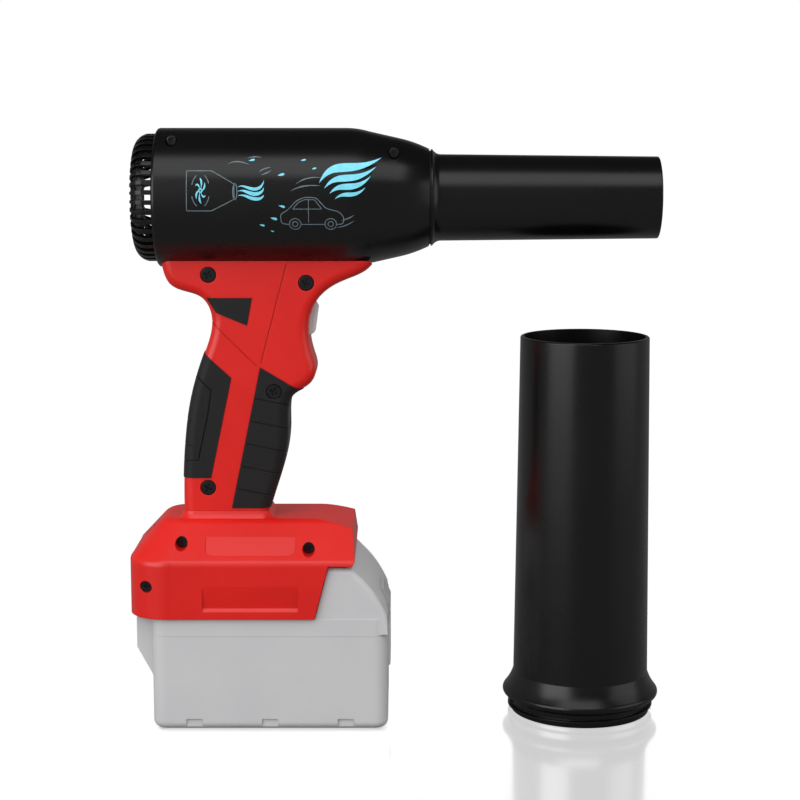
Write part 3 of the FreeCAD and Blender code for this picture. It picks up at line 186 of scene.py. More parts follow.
def emboss(tree: bpy.types.NodeTree, shader: bpy.types.Node, height: bpy.types.NodeSocket,
           strength: float, depth_mm: float, edge_mm: float, sunk: bool = False) -> None:
    """Raise a fine texture, and roll the light over sharp edges as over those that a mould leaves.

    Args:
        tree: the material's node tree.
        shader: its Principled shader.
        height: the socket that gives the texture's height, from 0 to 1.
        strength: how much of the texture shows.
        depth_mm: the texture's height in millimetres.
        edge_mm: the radius of the edges in millimetres.
        sunk: whether a high value is a hollow.
    """
    edge = add_node(tree, "ShaderNodeBevel", {"samples": 4}, Radius=edge_mm * MM)
    bump = add_node(tree, "ShaderNodeBump", {"invert": sunk}, Height=height, Strength=strength,
                    Distance=depth_mm * MM, Normal=edge.outputs["Normal"])
    tree.links.new(bump.outputs["Normal"], shader.inputs["Normal"])


@dataclass(frozen=True)
class MouldedPlastic:
    """Injection-moulded thermoplastic with a spark-eroded grain.

    The grain breaks the highlight up softly, and slight flow variation keeps large faces alive.
    A real grain is 0.1 to 0.2 mm wide. It is drawn coarser, so that it shows.
    """

    name: str
    base: str
    shade: str
    roughness: float
    grain_mm: float = 0.5
    grain_height_mm: float = 0.010
    edge_mm: float = 0.4
    coat: float = 0.0
    ior: float = 1.53
    flow_mm: float = 38.0
    unevenness: float = 0.05

    def material(self) -> bpy.types.Material:
        """Build the finish.

        Returns:
            The new material.
        """
        material, tree, shader, place = start_material(self.name)
        flow = add_node(tree, "ShaderNodeTexNoise", Vector=place, Scale=1 / (self.flow_mm * MM),
                        Detail=3.0).outputs["Fac"]
        grain = add_node(tree, "ShaderNodeTexNoise", Vector=place, Scale=1 / (self.grain_mm * MM),
                         Detail=2.0, Roughness=0.6).outputs["Fac"]
        vary(tree, shader, flow, (self.shade, self.base), (0.3, 0.7),
             (self.roughness - self.unevenness, self.roughness + self.unevenness))
        emboss(tree, shader, grain, 0.6, self.grain_height_mm, self.edge_mm)
        shader.inputs["IOR"].default_value = self.ior
        shader.inputs["Coat Weight"].default_value = self.coat
        return material


@dataclass(frozen=True)
class Elastomer:
    """Overmoulded thermoplastic elastomer: dull, with a leathery pebble that scatters light.

    Handling polishes it in places and dust dulls it in others.
    """

    name: str
    base: str
    shade: str
    pebble_mm: float = 0.9
    pebble_height_mm: float = 0.05
    roughness: float = 0.62
    polish: float = 0.06
    dulling: float = 0.08
    dust_mm: float = 16.0
    edge_mm: float = 0.5
    sheen: float = 0.12
    sheen_roughness: float = 0.4

    def material(self) -> bpy.types.Material:
        """Build the finish.

        Returns:
            The new material.
        """
        material, tree, shader, place = start_material(self.name)
        pebble = add_node(tree, "ShaderNodeTexVoronoi", {"feature": "SMOOTH_F1"}, Vector=place,
                          Scale=1 / (self.pebble_mm * MM), Smoothness=0.6).outputs["Distance"]
        dust = add_node(tree, "ShaderNodeTexNoise", Vector=place, Scale=1 / (self.dust_mm * MM),
                        Detail=4.0).outputs["Fac"]
        vary(tree, shader, dust, (self.shade, self.base), (0.35, 0.7),
             (self.roughness - self.polish, self.roughness + self.dulling))
        emboss(tree, shader, pebble, 0.7, self.pebble_height_mm, self.edge_mm, sunk=True)
        shader.inputs["Sheen Weight"].default_value = self.sheen
        shader.inputs["Sheen Roughness"].default_value = self.sheen_roughness
        return material


@dataclass(frozen=True)
class WorkedMetal:
    """Metal with the fine lines or grain that its making leaves, which draw the highlight out.

    Real tool marks are a few hundredths of a millimetre wide. They are drawn coarser, so that they
    show. The pattern is squeezed where stretch is over 1, so its lines run along the other axes.
    """

    name: str
    base: str
    shade: str
    roughness: float
    line_mm: float = 0.3
    stretch: tuple[float, float, float] = (1.0, 1.0, 1.0)
    metallic: float = 1.0
    line_height_mm: float = 0.008
    edge_mm: float = 0.2
    unevenness: float = 0.08

    def material(self) -> bpy.types.Material:
        """Build the finish.

        Returns:
            The new material.
        """
        material, tree, shader, place = start_material(self.name)
        drawn = add_node(tree, "ShaderNodeMapping", Vector=place, Scale=self.stretch).outputs["Vector"]
        lines = add_node(tree, "ShaderNodeTexNoise", Vector=drawn, Scale=1 / (self.line_mm * MM),
                         Detail=3.0).outputs["Fac"]
        vary(tree, shader, lines, (self.shade, self.base), (0.3, 0.7),
             (self.roughness - self.unevenness, self.roughness + self.unevenness))
        emboss(tree, shader, lines, 0.4, self.line_height_mm, self.edge_mm)
        shader.inputs["Metallic"].default_value = self.metallic
        return material


@dataclass(frozen=True)
class PadPrintedInk:
    """Pad-printed ink: a thin, slightly uneven film, a touch glossier than the grain under it."""

    name: str
    base: str
    shade: str
    film_mm: float = 2.5
    roughness: tuple[float, float] = (0.3, 0.42)

    def material(self) -> bpy.types.Material:
        """Build the finish.

        Returns:
            The new material.
        """
        material, tree, shader, place = start_material(self.name)
        film = add_node(tree, "ShaderNodeTexNoise", Vector=place, Scale=1 / (self.film_mm * MM),
                        Detail=5.0).outputs["Fac"]
        vary(tree, shader, film, (self.shade, self.base), (0.35, 0.65), self.roughness)
        return material


@dataclass(frozen=True)
class CircuitBoard:
    """Solder-masked laminate: glossy green lacquer with darker lines between the copper under it."""

    name: str = "solder_masked_laminate"
    mask: str = "1D6B38"
    mask_shade: str = "175A30"
    tracks: str = "0E3D22"
    pitch_mm: float = 9.0
    roughness: float = 0.3

    def material(self) -> bpy.types.Material:
        """Build the finish.

        Returns:
            The new material.
        """
        material, tree, shader, place = start_material(self.name)
        layout = add_node(tree, "ShaderNodeTexBrick", {"offset": 0.5}, Vector=place,
                          Color1=linear(self.mask), Color2=linear(self.mask_shade),
                          Mortar=linear(self.tracks), Scale=1 / (self.pitch_mm * MM), Mortar_Size=0.06)
        tree.links.new(layout.outputs["Color"], shader.inputs["Base Color"])
        shader.inputs["Roughness"].default_value = self.roughness
        return material


class Finish(Enum):
    """Every finish on the tool."""

    # Clear strong red with a soft sheen, from a fine grain under a thin gloss skin.
    RED_ABS = MouldedPlastic("moulded_red_abs", "DC150C", "D2130B", 0.34,
                             edge_mm=0.5, coat=0.1)
    # Deep black satin: the lamps lie on it as broad soft bands.
    BLACK_ABS = MouldedPlastic("moulded_black_abs", "070707", "050505", 0.27,
                               grain_height_mm=0.007)
    # The nozzles' black, a shade darker, so that their long bands of light look calm.
    MATTE_BLACK = MouldedPlastic("matte_black_nylon", "050505", "040404", 0.28,
                                 grain_height_mm=0.007)
    # Pale and quiet: the form shows by its shading alone.
    GREY_ABS = MouldedPlastic("pale_grey_abs", "C9C9CA", "C3C3C5", 0.42, edge_mm=0.6)
    # The press pad: a deeper grain and a darker grey set it off from the case.
    GREY_PAD = MouldedPlastic("pale_grey_pad", "B9B9BB", "B1B1B3", 0.5, grain_height_mm=0.014)
    # Lighter and a little smoother than the battery's case.
    TRIGGER_GREY = MouldedPlastic("trigger_grey_abs", "D8D8D8", "CFCFCF", 0.38, edge_mm=0.5)
    # Glass fibres near the skin leave it dull and mottled.
    DUCT_NYLON = MouldedPlastic("glass_filled_nylon", "262627", "202021", 0.55,
                                grain_mm=0.35, grain_height_mm=0.02, edge_mm=0.3)
    # Plain inner mouldings: dark grey and flat.
    BLACK_HOLDER = MouldedPlastic("black_holder_abs", "2A2A2B", "232324", 0.5,
                                  grain_height_mm=0.012, edge_mm=0.3)
    # Charcoal that swallows light beside the glossy red.
    GRIP = Elastomer("overmoulded_elastomer", "101011", "0B0B0C")
    # Smoother than the grips, with a faint dull shine.
    SEAL = Elastomer("nitrile_rubber", "1E1E1F", "181819",
                     pebble_mm=0.5, pebble_height_mm=0.015, roughness=0.5)
    # Dark with a metal's glint on the rim and in the socket.
    BLACK_SCREW = WorkedMetal("black_oxide_steel", "48484B", "2E2E31", 0.3,
                              line_mm=0.35, metallic=0.9)
    # Bright, with the fine lines that milling and extruding leave along the barrel.
    ALLOY = WorkedMetal("machined_aluminium", "C6C8CB", "AEB1B5", 0.28,
                        line_mm=0.2, stretch=(1.0, 6.0, 6.0))
    # Grey zinc plate over the lines of turning, which run round the axis.
    STEEL = WorkedMetal("plated_steel", "9A9B9E", "858689", 0.32,
                        line_mm=0.25, stretch=(6.0, 1.0, 1.0))
    # The brightest steel, with fine ground lines round the axis.
    GROUND_STEEL = WorkedMetal("ground_bearing_steel", "C2C3C6", "B0B1B4", 0.2,
                               line_mm=0.15, stretch=(8.0, 1.0, 1.0))
    # Warm red-brown under a glossy enamel, lined along the slots like wound wire.
    COPPER = WorkedMetal("enamelled_copper", "C4662E", "9C4A1F", 0.3,
                         line_mm=0.4, stretch=(1.0, 8.0, 8.0))
    # Yellow and bright, slightly clouded by handling.
    BRASS = WorkedMetal("contact_brass", "D2B070", "BC9A5C", 0.3, line_mm=0.25)
    # A warm white metal, brighter than the steel.
    NICKEL = WorkedMetal("rolled_nickel", "C9C6C0", "B5B2AC", 0.25, line_mm=0.25)
    # Grey wire with a very fine grain that glints on each turn.
    SPRING = WorkedMetal("drawn_spring_wire", "A7A8AB", "8C8D90", 0.3, line_mm=0.12)
    # Green under clear lacquer.
    BOARD = CircuitBoard()
    # Shrunk film: a slight orange-peel and a clean gloss over blue.
    CELL_SLEEVE = MouldedPlastic("cell_shrink_sleeve", "1E5C8A", "1A5079", 0.3,
                                 grain_mm=1.2, edge_mm=0.6, coat=0.2)
    # The same film in near-black blue.
    CAP_SLEEVE = MouldedPlastic("capacitor_sleeve", "1D1F33", "17192B", 0.28,
                                grain_mm=1.2, coat=0.2)
    # Soft red insulation with a waxy, even sheen.
    WIRE_RED = MouldedPlastic("silicone_insulation", "A3231C", "8E1D17", 0.42,
                              grain_mm=0.8, edge_mm=0.2)
    # Bright cyan that stands out on the black.
    INK = PadPrintedInk("pad_printed_cyan_ink", "7FDEF3", "70D2EA")
    # Muted slate for the thin lines, so that they stay behind the cyan.
    LINE_INK = PadPrintedInk("pad_printed_slate_ink", "6F8188", "5A6B72")

    def build(self) -> bpy.types.Material:
        """The finish's material, built the first time it is asked for."""
        found = bpy.data.materials.get(self.value.name)
        return found or self.value.material()


def dress(nodes: dict[str, Finish]) -> None:
    """Give CAD nodes their finishes.

    Args:
        nodes: node name to finish.
    """
    for node, finish in nodes.items():
        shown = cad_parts[node]
        material = finish.build()
        if not shown.material_slots:
            shown.data.materials.append(material)
        for slot in shown.material_slots:
            slot.material = material
        LOG.info("dressed %s in %s", node, material.name)


def shorten_spring(node: str) -> None:
    """Give a coil spring its own copy of its mesh.

    Args:
        node: the spring's CAD node, whose seat is at its low end.
    """
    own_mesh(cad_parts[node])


# ---- sub-assemblies -----------------------------------------------------------------------
@dataclass
class Barrel:
    """The black barrel, its grille and the air-flow mark printed on its sides.

    The mark is drawn flat, in millimetres: x along the barrel and s up from its mid-height. Then
    it is rolled round the barrel.
    """

    finishes: dict[str, Finish] = field(default_factory=lambda: {
        "barrel_shell_right": Finish.BLACK_ABS,
        "barrel_shell_left": Finish.BLACK_ABS,
        "barrel_screws": Finish.BLACK_SCREW,
        "intake_grille": Finish.BLACK_ABS,
    })
    film: float = 0.07 * MM
    line_mm: float = 0.2
    fan_centre: tuple[float, float] = (-31.2, 5.0)
    blades: int = 6
    wheel_places: tuple[float, float] = (14.3, 31.5)
    tyre_mm: float = 2.8
    hub_mm: float = 1.3
    drop_long_mm: float = 1.9
    drop_half_mm: float = 0.95
    drop_tilt: float = math.radians(14)
    curve_points: int = 49
    path_points: int = 97
    drop_points: int = 29
    radius: float = field(init=False)
    axis_z: float = field(init=False)

    def build(self) -> None:
        """Dress the shells and print the mark on both sides."""
        dress(self.finishes)
        low, high = (np.array(c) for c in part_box("barrel_shell_right"))
        self.radius = float(-low[1]) + self.film
        self.axis_z = float(high[2]) - float(-low[1])
        layers = (
            ("airflow_print_", self.fills(), Finish.INK),
            ("airflow_lines_", self.lines(), Finish.LINE_INK),
        )
        for side, word in ((-1, "right"), (1, "left")):
            for stem, shapes, ink in layers:
                rolled = [self.wrap(flat, side) for flat in shapes]
                make_piece(stem + word, rolled, "housing", ink.build())

    def wrap(self, flat: np.ndarray, side: int) -> np.ndarray:
        """Roll a flat pattern round the barrel.

        A point s up from the barrel's mid-height turns by the angle s / R, so it lands at
        y = side R cos(s / R), z = axis + R sin(s / R).

        Args:
            flat: array (rows, columns, 2) of x and s.
            side: -1 for the right side, +1 for the left.

        Returns:
            Array (rows, columns, 3) of points.
        """
        x, s = flat[..., 0], flat[..., 1]
        turn = s / self.radius
        y = side * self.radius * np.cos(turn)
        z = self.axis_z + self.radius * np.sin(turn)
        grid = np.stack([x, y, z], axis=-1)
        return grid if side < 0 else grid[::-1]

    def stroke(self, x: np.ndarray, s: np.ndarray, half: np.ndarray) -> np.ndarray:
        """A ribbon about a flat line: each point is moved by half its width along the normal.

        Args:
            x: the line's x values.
            s: the line's heights.
            half: half the ribbon's width at each point.

        Returns:
            Array (points, 3, 2): both edges and the middle.
        """
        dx, ds = np.gradient(x), np.gradient(s)
        size = np.hypot(dx, ds)
        normal = np.stack([-ds / size, dx / size], axis=-1)
        across = np.array([1.0, 0.0, -1.0])[None, :, None]
        middle = np.stack([x, s], axis=-1)[:, None, :]
        return middle + across * normal[:, None, :] * half[:, None, None]

    def ring(self, x0: float, s0: float, wide: float, tall: float, half: float,
             start: float = 0.0, end: float = 360.0) -> np.ndarray:
        """An elliptical line: x = x0 + wide cos(u), s = s0 + tall sin(u), all in mm.

        Args:
            x0: the centre along the barrel.
            s0: the centre's height.
            wide: half its width.
            tall: half its height.
            half: half the line's thickness.
            start: the angle where it starts, in degrees.
            end: the angle where it ends.

        Returns:
            The ribbon's points.
        """
        u = np.radians(np.linspace(start, end, self.curve_points))
        return self.stroke((x0 + wide * np.cos(u)) * MM, (s0 + tall * np.sin(u)) * MM,
                           np.full(u.shape, half * MM))

    def path(self, corners: list[tuple[float, float]], half: float, soft: int = 0) -> np.ndarray:
        """A line of even thickness through corners, resampled by its length.

        Args:
            corners: (x, s) points in mm.
            half: half the line's thickness in mm.
            soft: how many steps of running mean round the corners off.

        Returns:
            The ribbon's points.
        """
        xs, ss = np.array(corners, dtype=float).T
        run = np.concatenate([[0.0], np.cumsum(np.hypot(np.diff(xs), np.diff(ss)))])
        along = np.linspace(0.0, run[-1], self.path_points)
        line = np.stack([np.interp(along, run, xs), np.interp(along, run, ss)])
        for _ in range(soft):
            line[:, 1:-1] = (line[:, :-2] + line[:, 1:-1] + line[:, 2:]) / 3
        return self.stroke(line[0] * MM, line[1] * MM, np.full(along.shape, half * MM))

    def gust(self, bends: list[tuple[float, float]], half: float, swell: float = 0.5) -> np.ndarray:
        """A filled swoosh along a Bezier curve, widest where t = swell and sharp at both ends.

        The curve comes from its control points by repeated blending: each pair P, Q gives
        (1 - t) P + t Q until one point is left. The half width is half sin(pi t^k)^0.9, where
        k puts the middle of the sine at t = swell.

        Args:
            bends: the control points in mm.
            half: half its greatest width in mm.
            swell: where along it that width lies.

        Returns:
            The ribbon's points.
        """
        t = np.linspace(0.0, 1.0, self.curve_points)
        line = np.array(bends, dtype=float)[:, :, None] * np.ones_like(t)
        while len(line) > 1:
            line = (1 - t) * line[:-1] + t * line[1:]
        x, s = line[0] * MM
        rise = t ** (math.log(0.5) / math.log(swell))
        tip_width = 1e-6
        return self.stroke(x, s, half * MM * np.sin(math.pi * rise) ** 0.9 + tip_width)

    def fills(self) -> list[np.ndarray]:
        """The filled parts of the mark: fan blades, the fan's breath, broad gusts and drops."""
        return self.fan() + self.breath() + self.gusts() + self.drops()

    def lines(self) -> list[np.ndarray]:
        """The drawn parts of the mark: the duct, the turning air, a car and thin streams."""
        return self.duct() + self.car() + self.streams()

    def duct(self) -> list[np.ndarray]:
        """A cut-open duct, its round mouth and the air that turns round its fan.

        Returns:
            One ribbon per line.
        """
        x0, s0 = self.fan_centre
        wall = [(-38, 14.8), (-38, -4.8), (-26, -4.8), (-15, 0.8), (-15, 8.2), (-26, 14.8), (-38, 14.8)]
        made = [self.path(wall, self.line_mm), self.ring(-14.6, 4.5, 1.0, 3.9, self.line_mm)]
        for start, end in ((115, 160), (25, 65), (200, 245), (295, 340)):
            made.append(self.ring(x0, s0, 4.4, 8.2, self.line_mm, start, end))
        return made

    def fan(self) -> list[np.ndarray]:
        """Six bent blades round a hub, seen at a slant.

        Each blade bends at the angle u on an ellipse round the centre, and ends 0.7 radians
        further on a larger one.

        Returns:
            One ribbon for the hub and one per blade.
        """
        x0, s0 = self.fan_centre
        made = [self.ring(x0, s0, 0.8, 0.8, 0.3)]
        for turn in range(0, 360, 360 // self.blades):
            u = math.radians(turn)
            swept = u + 0.7
            bend = (x0 + 2.4 * math.cos(u), s0 + 5.2 * math.sin(u))
            tip = (x0 + 2.6 * math.cos(swept), s0 + 6.4 * math.sin(swept))
            made.append(self.gust([(x0, s0), bend, tip], 0.42, 0.6))
        return made

    def breath(self) -> list[np.ndarray]:
        """Three waves of air that widen and curl up as they leave the duct.

        Returns:
            One ribbon per wave.
        """
        made = []
        for s0, half, end in ((6.6, 0.78, 10.2), (4.4, 0.9, 6.6), (2.2, 0.8, 3.0)):
            bends = [(-13.4, s0), (-9.5, s0 + 2.6), (-7.0, s0 - 3.4), (-1.2, s0 - 1.6), (-0.6, end)]
            made.append(self.gust(bends, half, 0.55))
        return made

    def car(self) -> list[np.ndarray]:
        """A plain saloon car in line: body, glass, sill, door and wheels.

        Returns:
            One ribbon per line.
        """
        body = [(11.2, -11.6), (7.6, -11.2), (7.2, -6.4), (10.6, -4.6), (15.0, 0.2), (19.0, 1.8),
                (24.5, 1.6), (29.2, -3.6), (35.6, -5.2), (38.0, -8.0), (37.6, -11.4), (34.6, -11.6)]
        glass = [(13.2, -3.9), (16.0, -0.6), (19.2, 0.7), (23.8, 0.6), (27.2, -3.9), (13.2, -3.9)]
        made = [
            self.path(body, self.line_mm, soft=5),
            self.path(glass, self.line_mm * 0.8, soft=2),
            self.path([(17.4, -11.6), (28.6, -11.6)], self.line_mm),
            self.path([(20.8, 0.6), (20.8, -10.8)], self.line_mm * 0.7),
        ]
        for x0 in self.wheel_places:
            for size in (self.tyre_mm, self.hub_mm):
                made.append(self.ring(x0, -11.4, size, size, self.line_mm))
        return made

    def gusts(self) -> list[np.ndarray]:
        """Four broad gusts that roll up behind the car and stream away from it.

        Returns:
            One ribbon per gust.
        """
        runs = (
            ([(26.0, 8.6), (33.5, 22.5), (41.0, 11.5), (56.0, 22.0)], 2.3),
            ([(28.5, 6.0), (35.5, 15.5), (42.0, 6.5), (53.5, 17.0)], 1.7),
            ([(31.0, 3.4), (37.0, 10.4), (42.5, 2.8), (51.0, 12.2)], 1.5),
            ([(33.5, 0.8), (38.5, 5.6), (42.5, 0.2), (48.4, 6.6)], 1.0),
        )
        return [self.gust(bends, half) for bends, half in runs]

    def streams(self) -> list[np.ndarray]:
        """Thin lines of moving air.

        Returns:
            One ribbon per line.
        """
        half = 0.3
        runs = (
            [(-18.3, 18.2), (-14.0, 21.5), (-7.5, 17.8)],
            [(-9.0, 21.6), (-5.5, 23.2), (-1.8, 22.0)],
            [(-3.2, 14.2), (-0.5, 16.4), (2.8, 16.6)],
            [(-2.2, 12.6), (0.8, 13.6), (3.0, 15.0)],
            [(34.0, -13.4), (39.0, -12.6), (43.0, -9.6)],
            [(36.5, -9.6), (40.5, -8.8), (43.0, -6.6)],
            [(14.5, 8.0), (20.0, 12.4), (27.5, 11.2)],
            [(12.0, 4.6), (18.0, 8.4), (27.0, 7.2)],
        )
        return [self.gust(bends, half) for bends in runs]

    def drops(self) -> list[np.ndarray]:
        """Water drops that fly off: a round head drawn out into a tail.

        The outline is x = -a cos(u), s = b sin(u) sin(u / 2)^1.2, tilted up above the barrel's
        mid-height and down below it, and swept from the centre outwards.

        Returns:
            One filled patch per drop.
        """
        u = np.linspace(0, 2 * math.pi, self.drop_points)
        reach = np.linspace(0.02, 1, 4)[:, None, None]
        places = [(-6.7, 20.6, 0.8), (7.6, 12.8, 0.9), (18.2, 20.6, 0.7), (4.0, -8.6, 0.9),
                  (8.0, -2.6, 0.8), (-1.8, -12.0, 0.7), (3.0, -15.2, 0.5), (23.5, 16.0, 0.6)]
        made = []
        for x0, s0, size in places:
            x = -self.drop_long_mm * size * np.cos(u)
            s = self.drop_half_mm * size * np.sin(u) * np.sin(u / 2) ** 1.2
            tilt = math.copysign(self.drop_tilt, s0)
            turned = [x0 + x * math.cos(tilt) - s * math.sin(tilt),
                      s0 + x * math.sin(tilt) + s * math.cos(tilt)]
            rim = np.stack(turned, axis=-1) * MM
            centre = np.array([x0, s0]) * MM
            made.append((centre + (rim - centre)[None] * reach).transpose(1, 0, 2))
        return made


@dataclass
class AirPath:
    """The nozzles, the gasket and everything inside the barrel."""

    finishes: dict[str, Finish] = field(default_factory=lambda: {
        "nozzle": Finish.MATTE_BLACK,
        "wide_nozzle": Finish.MATTE_BLACK,
        "nozzle_gasket": Finish.SEAL,
        "fan_duct": Finish.DUCT_NYLON,
        "tail_cone": Finish.DUCT_NYLON,
        "motor_can": Finish.STEEL,
        "motor_end_cap": Finish.STEEL,
        "motor_stator": Finish.STEEL,
        "motor_coils": Finish.COPPER,
        "bearing_rear": Finish.GROUND_STEEL,
        "bearing_front": Finish.GROUND_STEEL,
        "motor_shaft": Finish.GROUND_STEEL,
        "motor_magnets": Finish.NICKEL,
        "impeller": Finish.ALLOY,
        "impeller_spinner": Finish.ALLOY,
    })

    def build(self) -> None:
        """Dress the pieces."""
        dress(self.finishes)


@dataclass
class Handle:
    """The red handle with its soft grips, trigger and screws."""

    finishes: dict[str, Finish] = field(default_factory=lambda: {
        "handle_shell_right": Finish.RED_ABS,
        "handle_shell_left": Finish.RED_ABS,
        "front_grip_right": Finish.GRIP,
        "front_grip_left": Finish.GRIP,
        "rear_grip_right": Finish.GRIP,
        "rear_grip_left": Finish.GRIP,
        "web_pad_right": Finish.GRIP,
        "web_pad_left": Finish.GRIP,
        "handle_screws": Finish.BLACK_SCREW,
        "trigger": Finish.TRIGGER_GREY,
        "trigger_switch": Finish.BLACK_HOLDER,
        "trigger_spring": Finish.SPRING,
    })
    trigger_travel: float = 5.0 * MM

    def build(self) -> None:
        """Dress the pieces, and give the trigger's spring its own mesh."""
        dress(self.finishes)
        shorten_spring("trigger_spring")


@dataclass
class Foot:
    """The red foot and the electronics in it."""

    finishes: dict[str, Finish] = field(default_factory=lambda: {
        "foot_shell_right": Finish.RED_ABS,
        "foot_shell_left": Finish.RED_ABS,
        "foot_screws": Finish.BLACK_SCREW,
        "terminal_block": Finish.BLACK_HOLDER,
        "terminal_blades": Finish.BRASS,
        "control_board": Finish.BOARD,
        "board_heat_sink": Finish.ALLOY,
        "board_capacitors": Finish.CAP_SLEEVE,
        "phase_wires": Finish.WIRE_RED,
        "switch_leads": Finish.WIRE_RED,
    })

    def build(self) -> None:
        """Dress the pieces."""
        dress(self.finishes)


@dataclass
class Battery:
    """The pale grey battery pack."""

    finishes: dict[str, Finish] = field(default_factory=lambda: {
        "battery_lower_case": Finish.GREY_ABS,
        "battery_upper_case": Finish.GREY_ABS,
        "battery_latch": Finish.GREY_PAD,
        "battery_screws": Finish.BLACK_SCREW,
        "latch_spring": Finish.SPRING,
        "battery_cells": Finish.CELL_SLEEVE,
        "cell_holder": Finish.BLACK_HOLDER,
        "cell_straps": Finish.NICKEL,
        "battery_board": Finish.BOARD,
        "battery_contacts": Finish.BRASS,
    })
    latch_travel: float = 3.5 * MM

    def build(self) -> None:
        """Dress the pieces, and give the latch's spring its own mesh."""
        dress(self.finishes)
        shorten_spring("latch_spring")


# ---- studio -------------------------------------------------------------------------------
@dataclass(frozen=True)
class Softbox:
    """A rectangular soft light."""

    name: str
    place: tuple[float, float, float]
    aim: tuple[float, float, float]
    size: tuple[float, float]
    glow: float

    def hang(self, lit: bpy.types.Collection) -> None:
        """Add the lamp, facing its aim, with a glow of 1 as bright as the backdrop.

        Args:
            lit: the collection that says what the lamp lights.
        """
        wide, tall = self.size
        lamp = bpy.data.lights.new(self.name, "AREA")
        lamp.shape = "RECTANGLE"
        lamp.size, lamp.size_y = wide, tall
        lamp.energy = self.glow * math.pi * wide * tall
        stand = bpy.data.objects.new(self.name, lamp)
        stand.visible_camera = False
        stand.location = self.place
        heading = Vector(self.aim) - Vector(self.place)
        stand.rotation_euler = heading.to_track_quat("-Z", "Y").to_euler()
        bpy.context.scene.collection.objects.link(stand)
        stand.light_linking.receiver_collection = lit


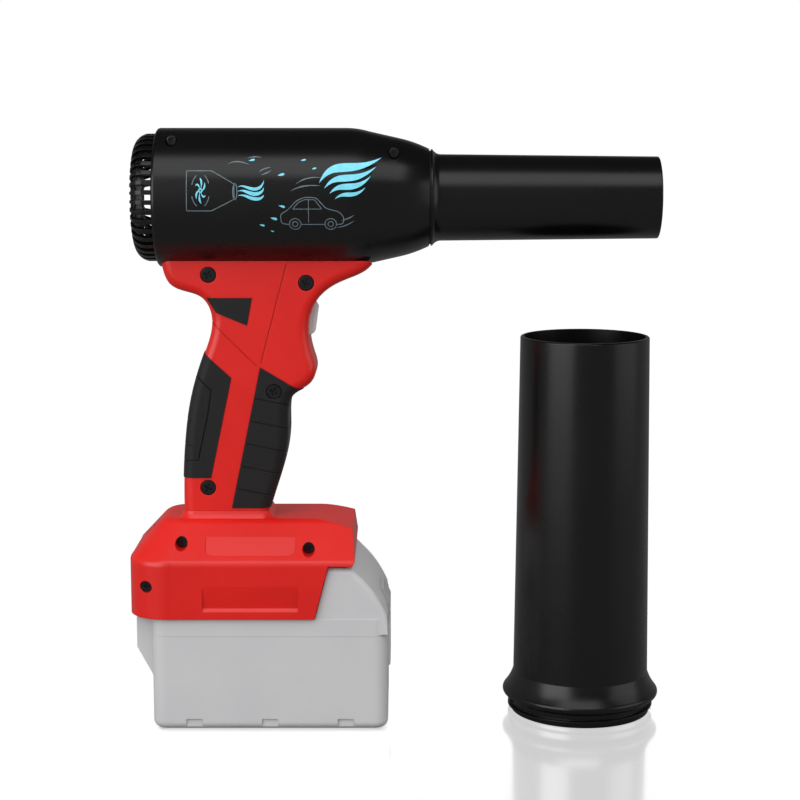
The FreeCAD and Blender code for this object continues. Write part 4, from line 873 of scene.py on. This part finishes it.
@dataclass
class Studio:
    """The white floor, the white room, its soft lights and the camera."""

    eye: tuple[float, float, float] = (0.065, -0.9543, 0.3098)
    pitch: float = math.radians(8.83)
    lens_mm: float = 85.5
    sensor_mm: float = 36.0
    nearest: float = 0.05
    farthest: float = 50.0
    floor_half: float = 6.0
    floor_drop: float = 0.2 * MM
    floor_base: str = "8A8A8A"
    floor_glow: float = 0.60
    floor_mirror: float = 2.3
    room_light: float = 0.87
    room_gloss: float = 0.02
    wall_gloss: float = 0.18
    veil_low: float = 0.36
    veil_high: float = 0.5
    backdrop: float = 1.0
    lamps: tuple[Softbox, ...] = (
        Softbox("key_softbox", (-1.0, -1.05, 0.55), (0.05, 0.0, 0.17), (1.4, 1.3), 2.05),
        Softbox("side_softbox", (1.45, -0.40, 0.45), (0.05, 0.0, 0.17), (1.2, 1.3), 0.72),
        Softbox("top_softbox", (0.05, -0.90, 1.52), (0.05, 0.0, 0.20), (1.6, 1.0), 1.35),
    )

    def build(self) -> None:
        """Make the floor, the world, the lamps and the camera, with colours shown as they are."""
        bpy.context.scene.view_settings.view_transform = "Standard"
        floor = self.floor()
        self.world()
        lit = self.all_but(floor)
        for lamp in self.lamps:
            lamp.hang(lit)
        self.camera()

    def floor(self) -> bpy.types.Object:
        """A wide white acrylic floor: evenly bright, with a soft reflection of what stands on it.

        The camera sees a glow plus a mirror. Everything else, such as light that bounces up to
        the tool, meets a plain pale floor.

        Returns:
            The floor, which is no part of the tool.
        """
        material, tree, shader, place = start_material("white_acrylic_floor")
        shader.inputs["Base Color"].default_value = linear(self.floor_base)
        shader.inputs["Roughness"].default_value = 0.5
        cloud = add_node(tree, "ShaderNodeTexNoise", Vector=place, Scale=1.5, Detail=2.0).outputs["Fac"]
        rough = add_node(tree, "ShaderNodeMapRange", Value=cloud, To_Min=0.1, To_Max=0.13)
        shine = (self.floor_mirror, self.floor_mirror, self.floor_mirror, 1.0)
        mirror = add_node(tree, "ShaderNodeBsdfGlossy", Color=shine, Roughness=rough.outputs["Result"])
        glow = add_node(tree, "ShaderNodeEmission", Strength=self.floor_glow)
        seen = add_node(tree, "ShaderNodeAddShader", in_0=mirror.outputs[0], in_1=glow.outputs[0])
        camera_ray = add_node(tree, "ShaderNodeLightPath").outputs["Is Camera Ray"]
        both = add_node(tree, "ShaderNodeMixShader", in_0=camera_ray, in_1=shader.outputs[0],
                        in_2=seen.outputs[0])
        tree.links.new(both.outputs[0], tree.nodes["Material Output"].inputs["Surface"])
        mesh = bpy.data.meshes.new("studio_floor")
        h, z = self.floor_half, -self.floor_drop
        mesh.from_pydata([(-h, -h, z), (h, -h, z), (h, h, z), (-h, h, z)], [], [(0, 1, 2, 3)])
        mesh.materials.append(material)
        floor = bpy.data.objects.new("studio_floor", mesh)
        bpy.context.scene.collection.objects.link(floor)
        return floor

    def all_but(self, floor: bpy.types.Object) -> bpy.types.Collection:
        """Keep the softboxes' light off the floor, so that it stays as white behind as in front.

        Args:
            floor: the object that they leave unlit.

        Returns:
            The collection that says so to each lamp.
        """
        lit = bpy.data.collections.new("kept_from_softboxes")
        lit.objects.link(floor)
        lit.collection_objects[0].light_linking.link_state = "EXCLUDE"
        return lit

    def world(self) -> None:
        """A white room that lights the tool evenly and shows little in its gloss.

        What a glossy surface sees of the room fades from a pale wall near the horizon to almost
        nothing overhead, so the floor reflects the wall evenly from all round, and the blacks
        stay black.
        """
        world = bpy.data.worlds.new("white_studio")
        bpy.context.scene.world = world
        world.use_nodes = True
        tree = world.node_tree
        tree.nodes.clear()
        white = linear("FFFFFF")
        ray = add_node(tree, "ShaderNodeLightPath")
        heading = add_node(tree, "ShaderNodeTexCoord").outputs["Generated"]
        height = add_node(tree, "ShaderNodeSeparateXYZ", Vector=heading).outputs["Z"]
        veil = add_node(tree, "ShaderNodeMapRange", Value=height, From_Min=self.veil_low,
                        From_Max=self.veil_high, To_Min=self.wall_gloss, To_Max=self.room_gloss)
        dim = add_node(tree, "ShaderNodeBackground", Color=white, Strength=self.room_light)
        mirrored = add_node(tree, "ShaderNodeBackground", Color=white, Strength=veil.outputs["Result"])
        bright = add_node(tree, "ShaderNodeBackground", Color=white, Strength=self.backdrop)
        room = add_node(tree, "ShaderNodeMixShader", in_0=ray.outputs["Is Glossy Ray"],
                        in_1=dim.outputs[0], in_2=mirrored.outputs[0])
        shown = add_node(tree, "ShaderNodeMixShader", in_0=ray.outputs["Is Camera Ray"],
                         in_1=room.outputs[0], in_2=bright.outputs[0])
        add_node(tree, "ShaderNodeOutputWorld", Surface=shown.outputs[0])

    def camera(self) -> None:
        """Stand the camera in front of the tool's right side, looking slightly down."""
        data = bpy.data.cameras.new("camera")
        data.lens = self.lens_mm
        data.sensor_width = self.sensor_mm
        data.clip_start, data.clip_end = self.nearest, self.farthest
        stand = bpy.data.objects.new("camera", data)
        stand.location = self.eye
        stand.rotation_euler = (math.pi / 2 - self.pitch, 0, 0)
        bpy.context.scene.collection.objects.link(stand)
        bpy.context.scene.camera = stand


def main() -> None:
    """Build every sub-assembly in order, then the studio."""
    logging.basicConfig(level=logging.INFO, format="%(message)s")
    for part in (Barrel(), AirPath(), Handle(), Foot(), Battery(), Studio()):
        part.build()
        LOG.info("built %s", type(part).__name__)


if __name__ == "__main__":
    main()
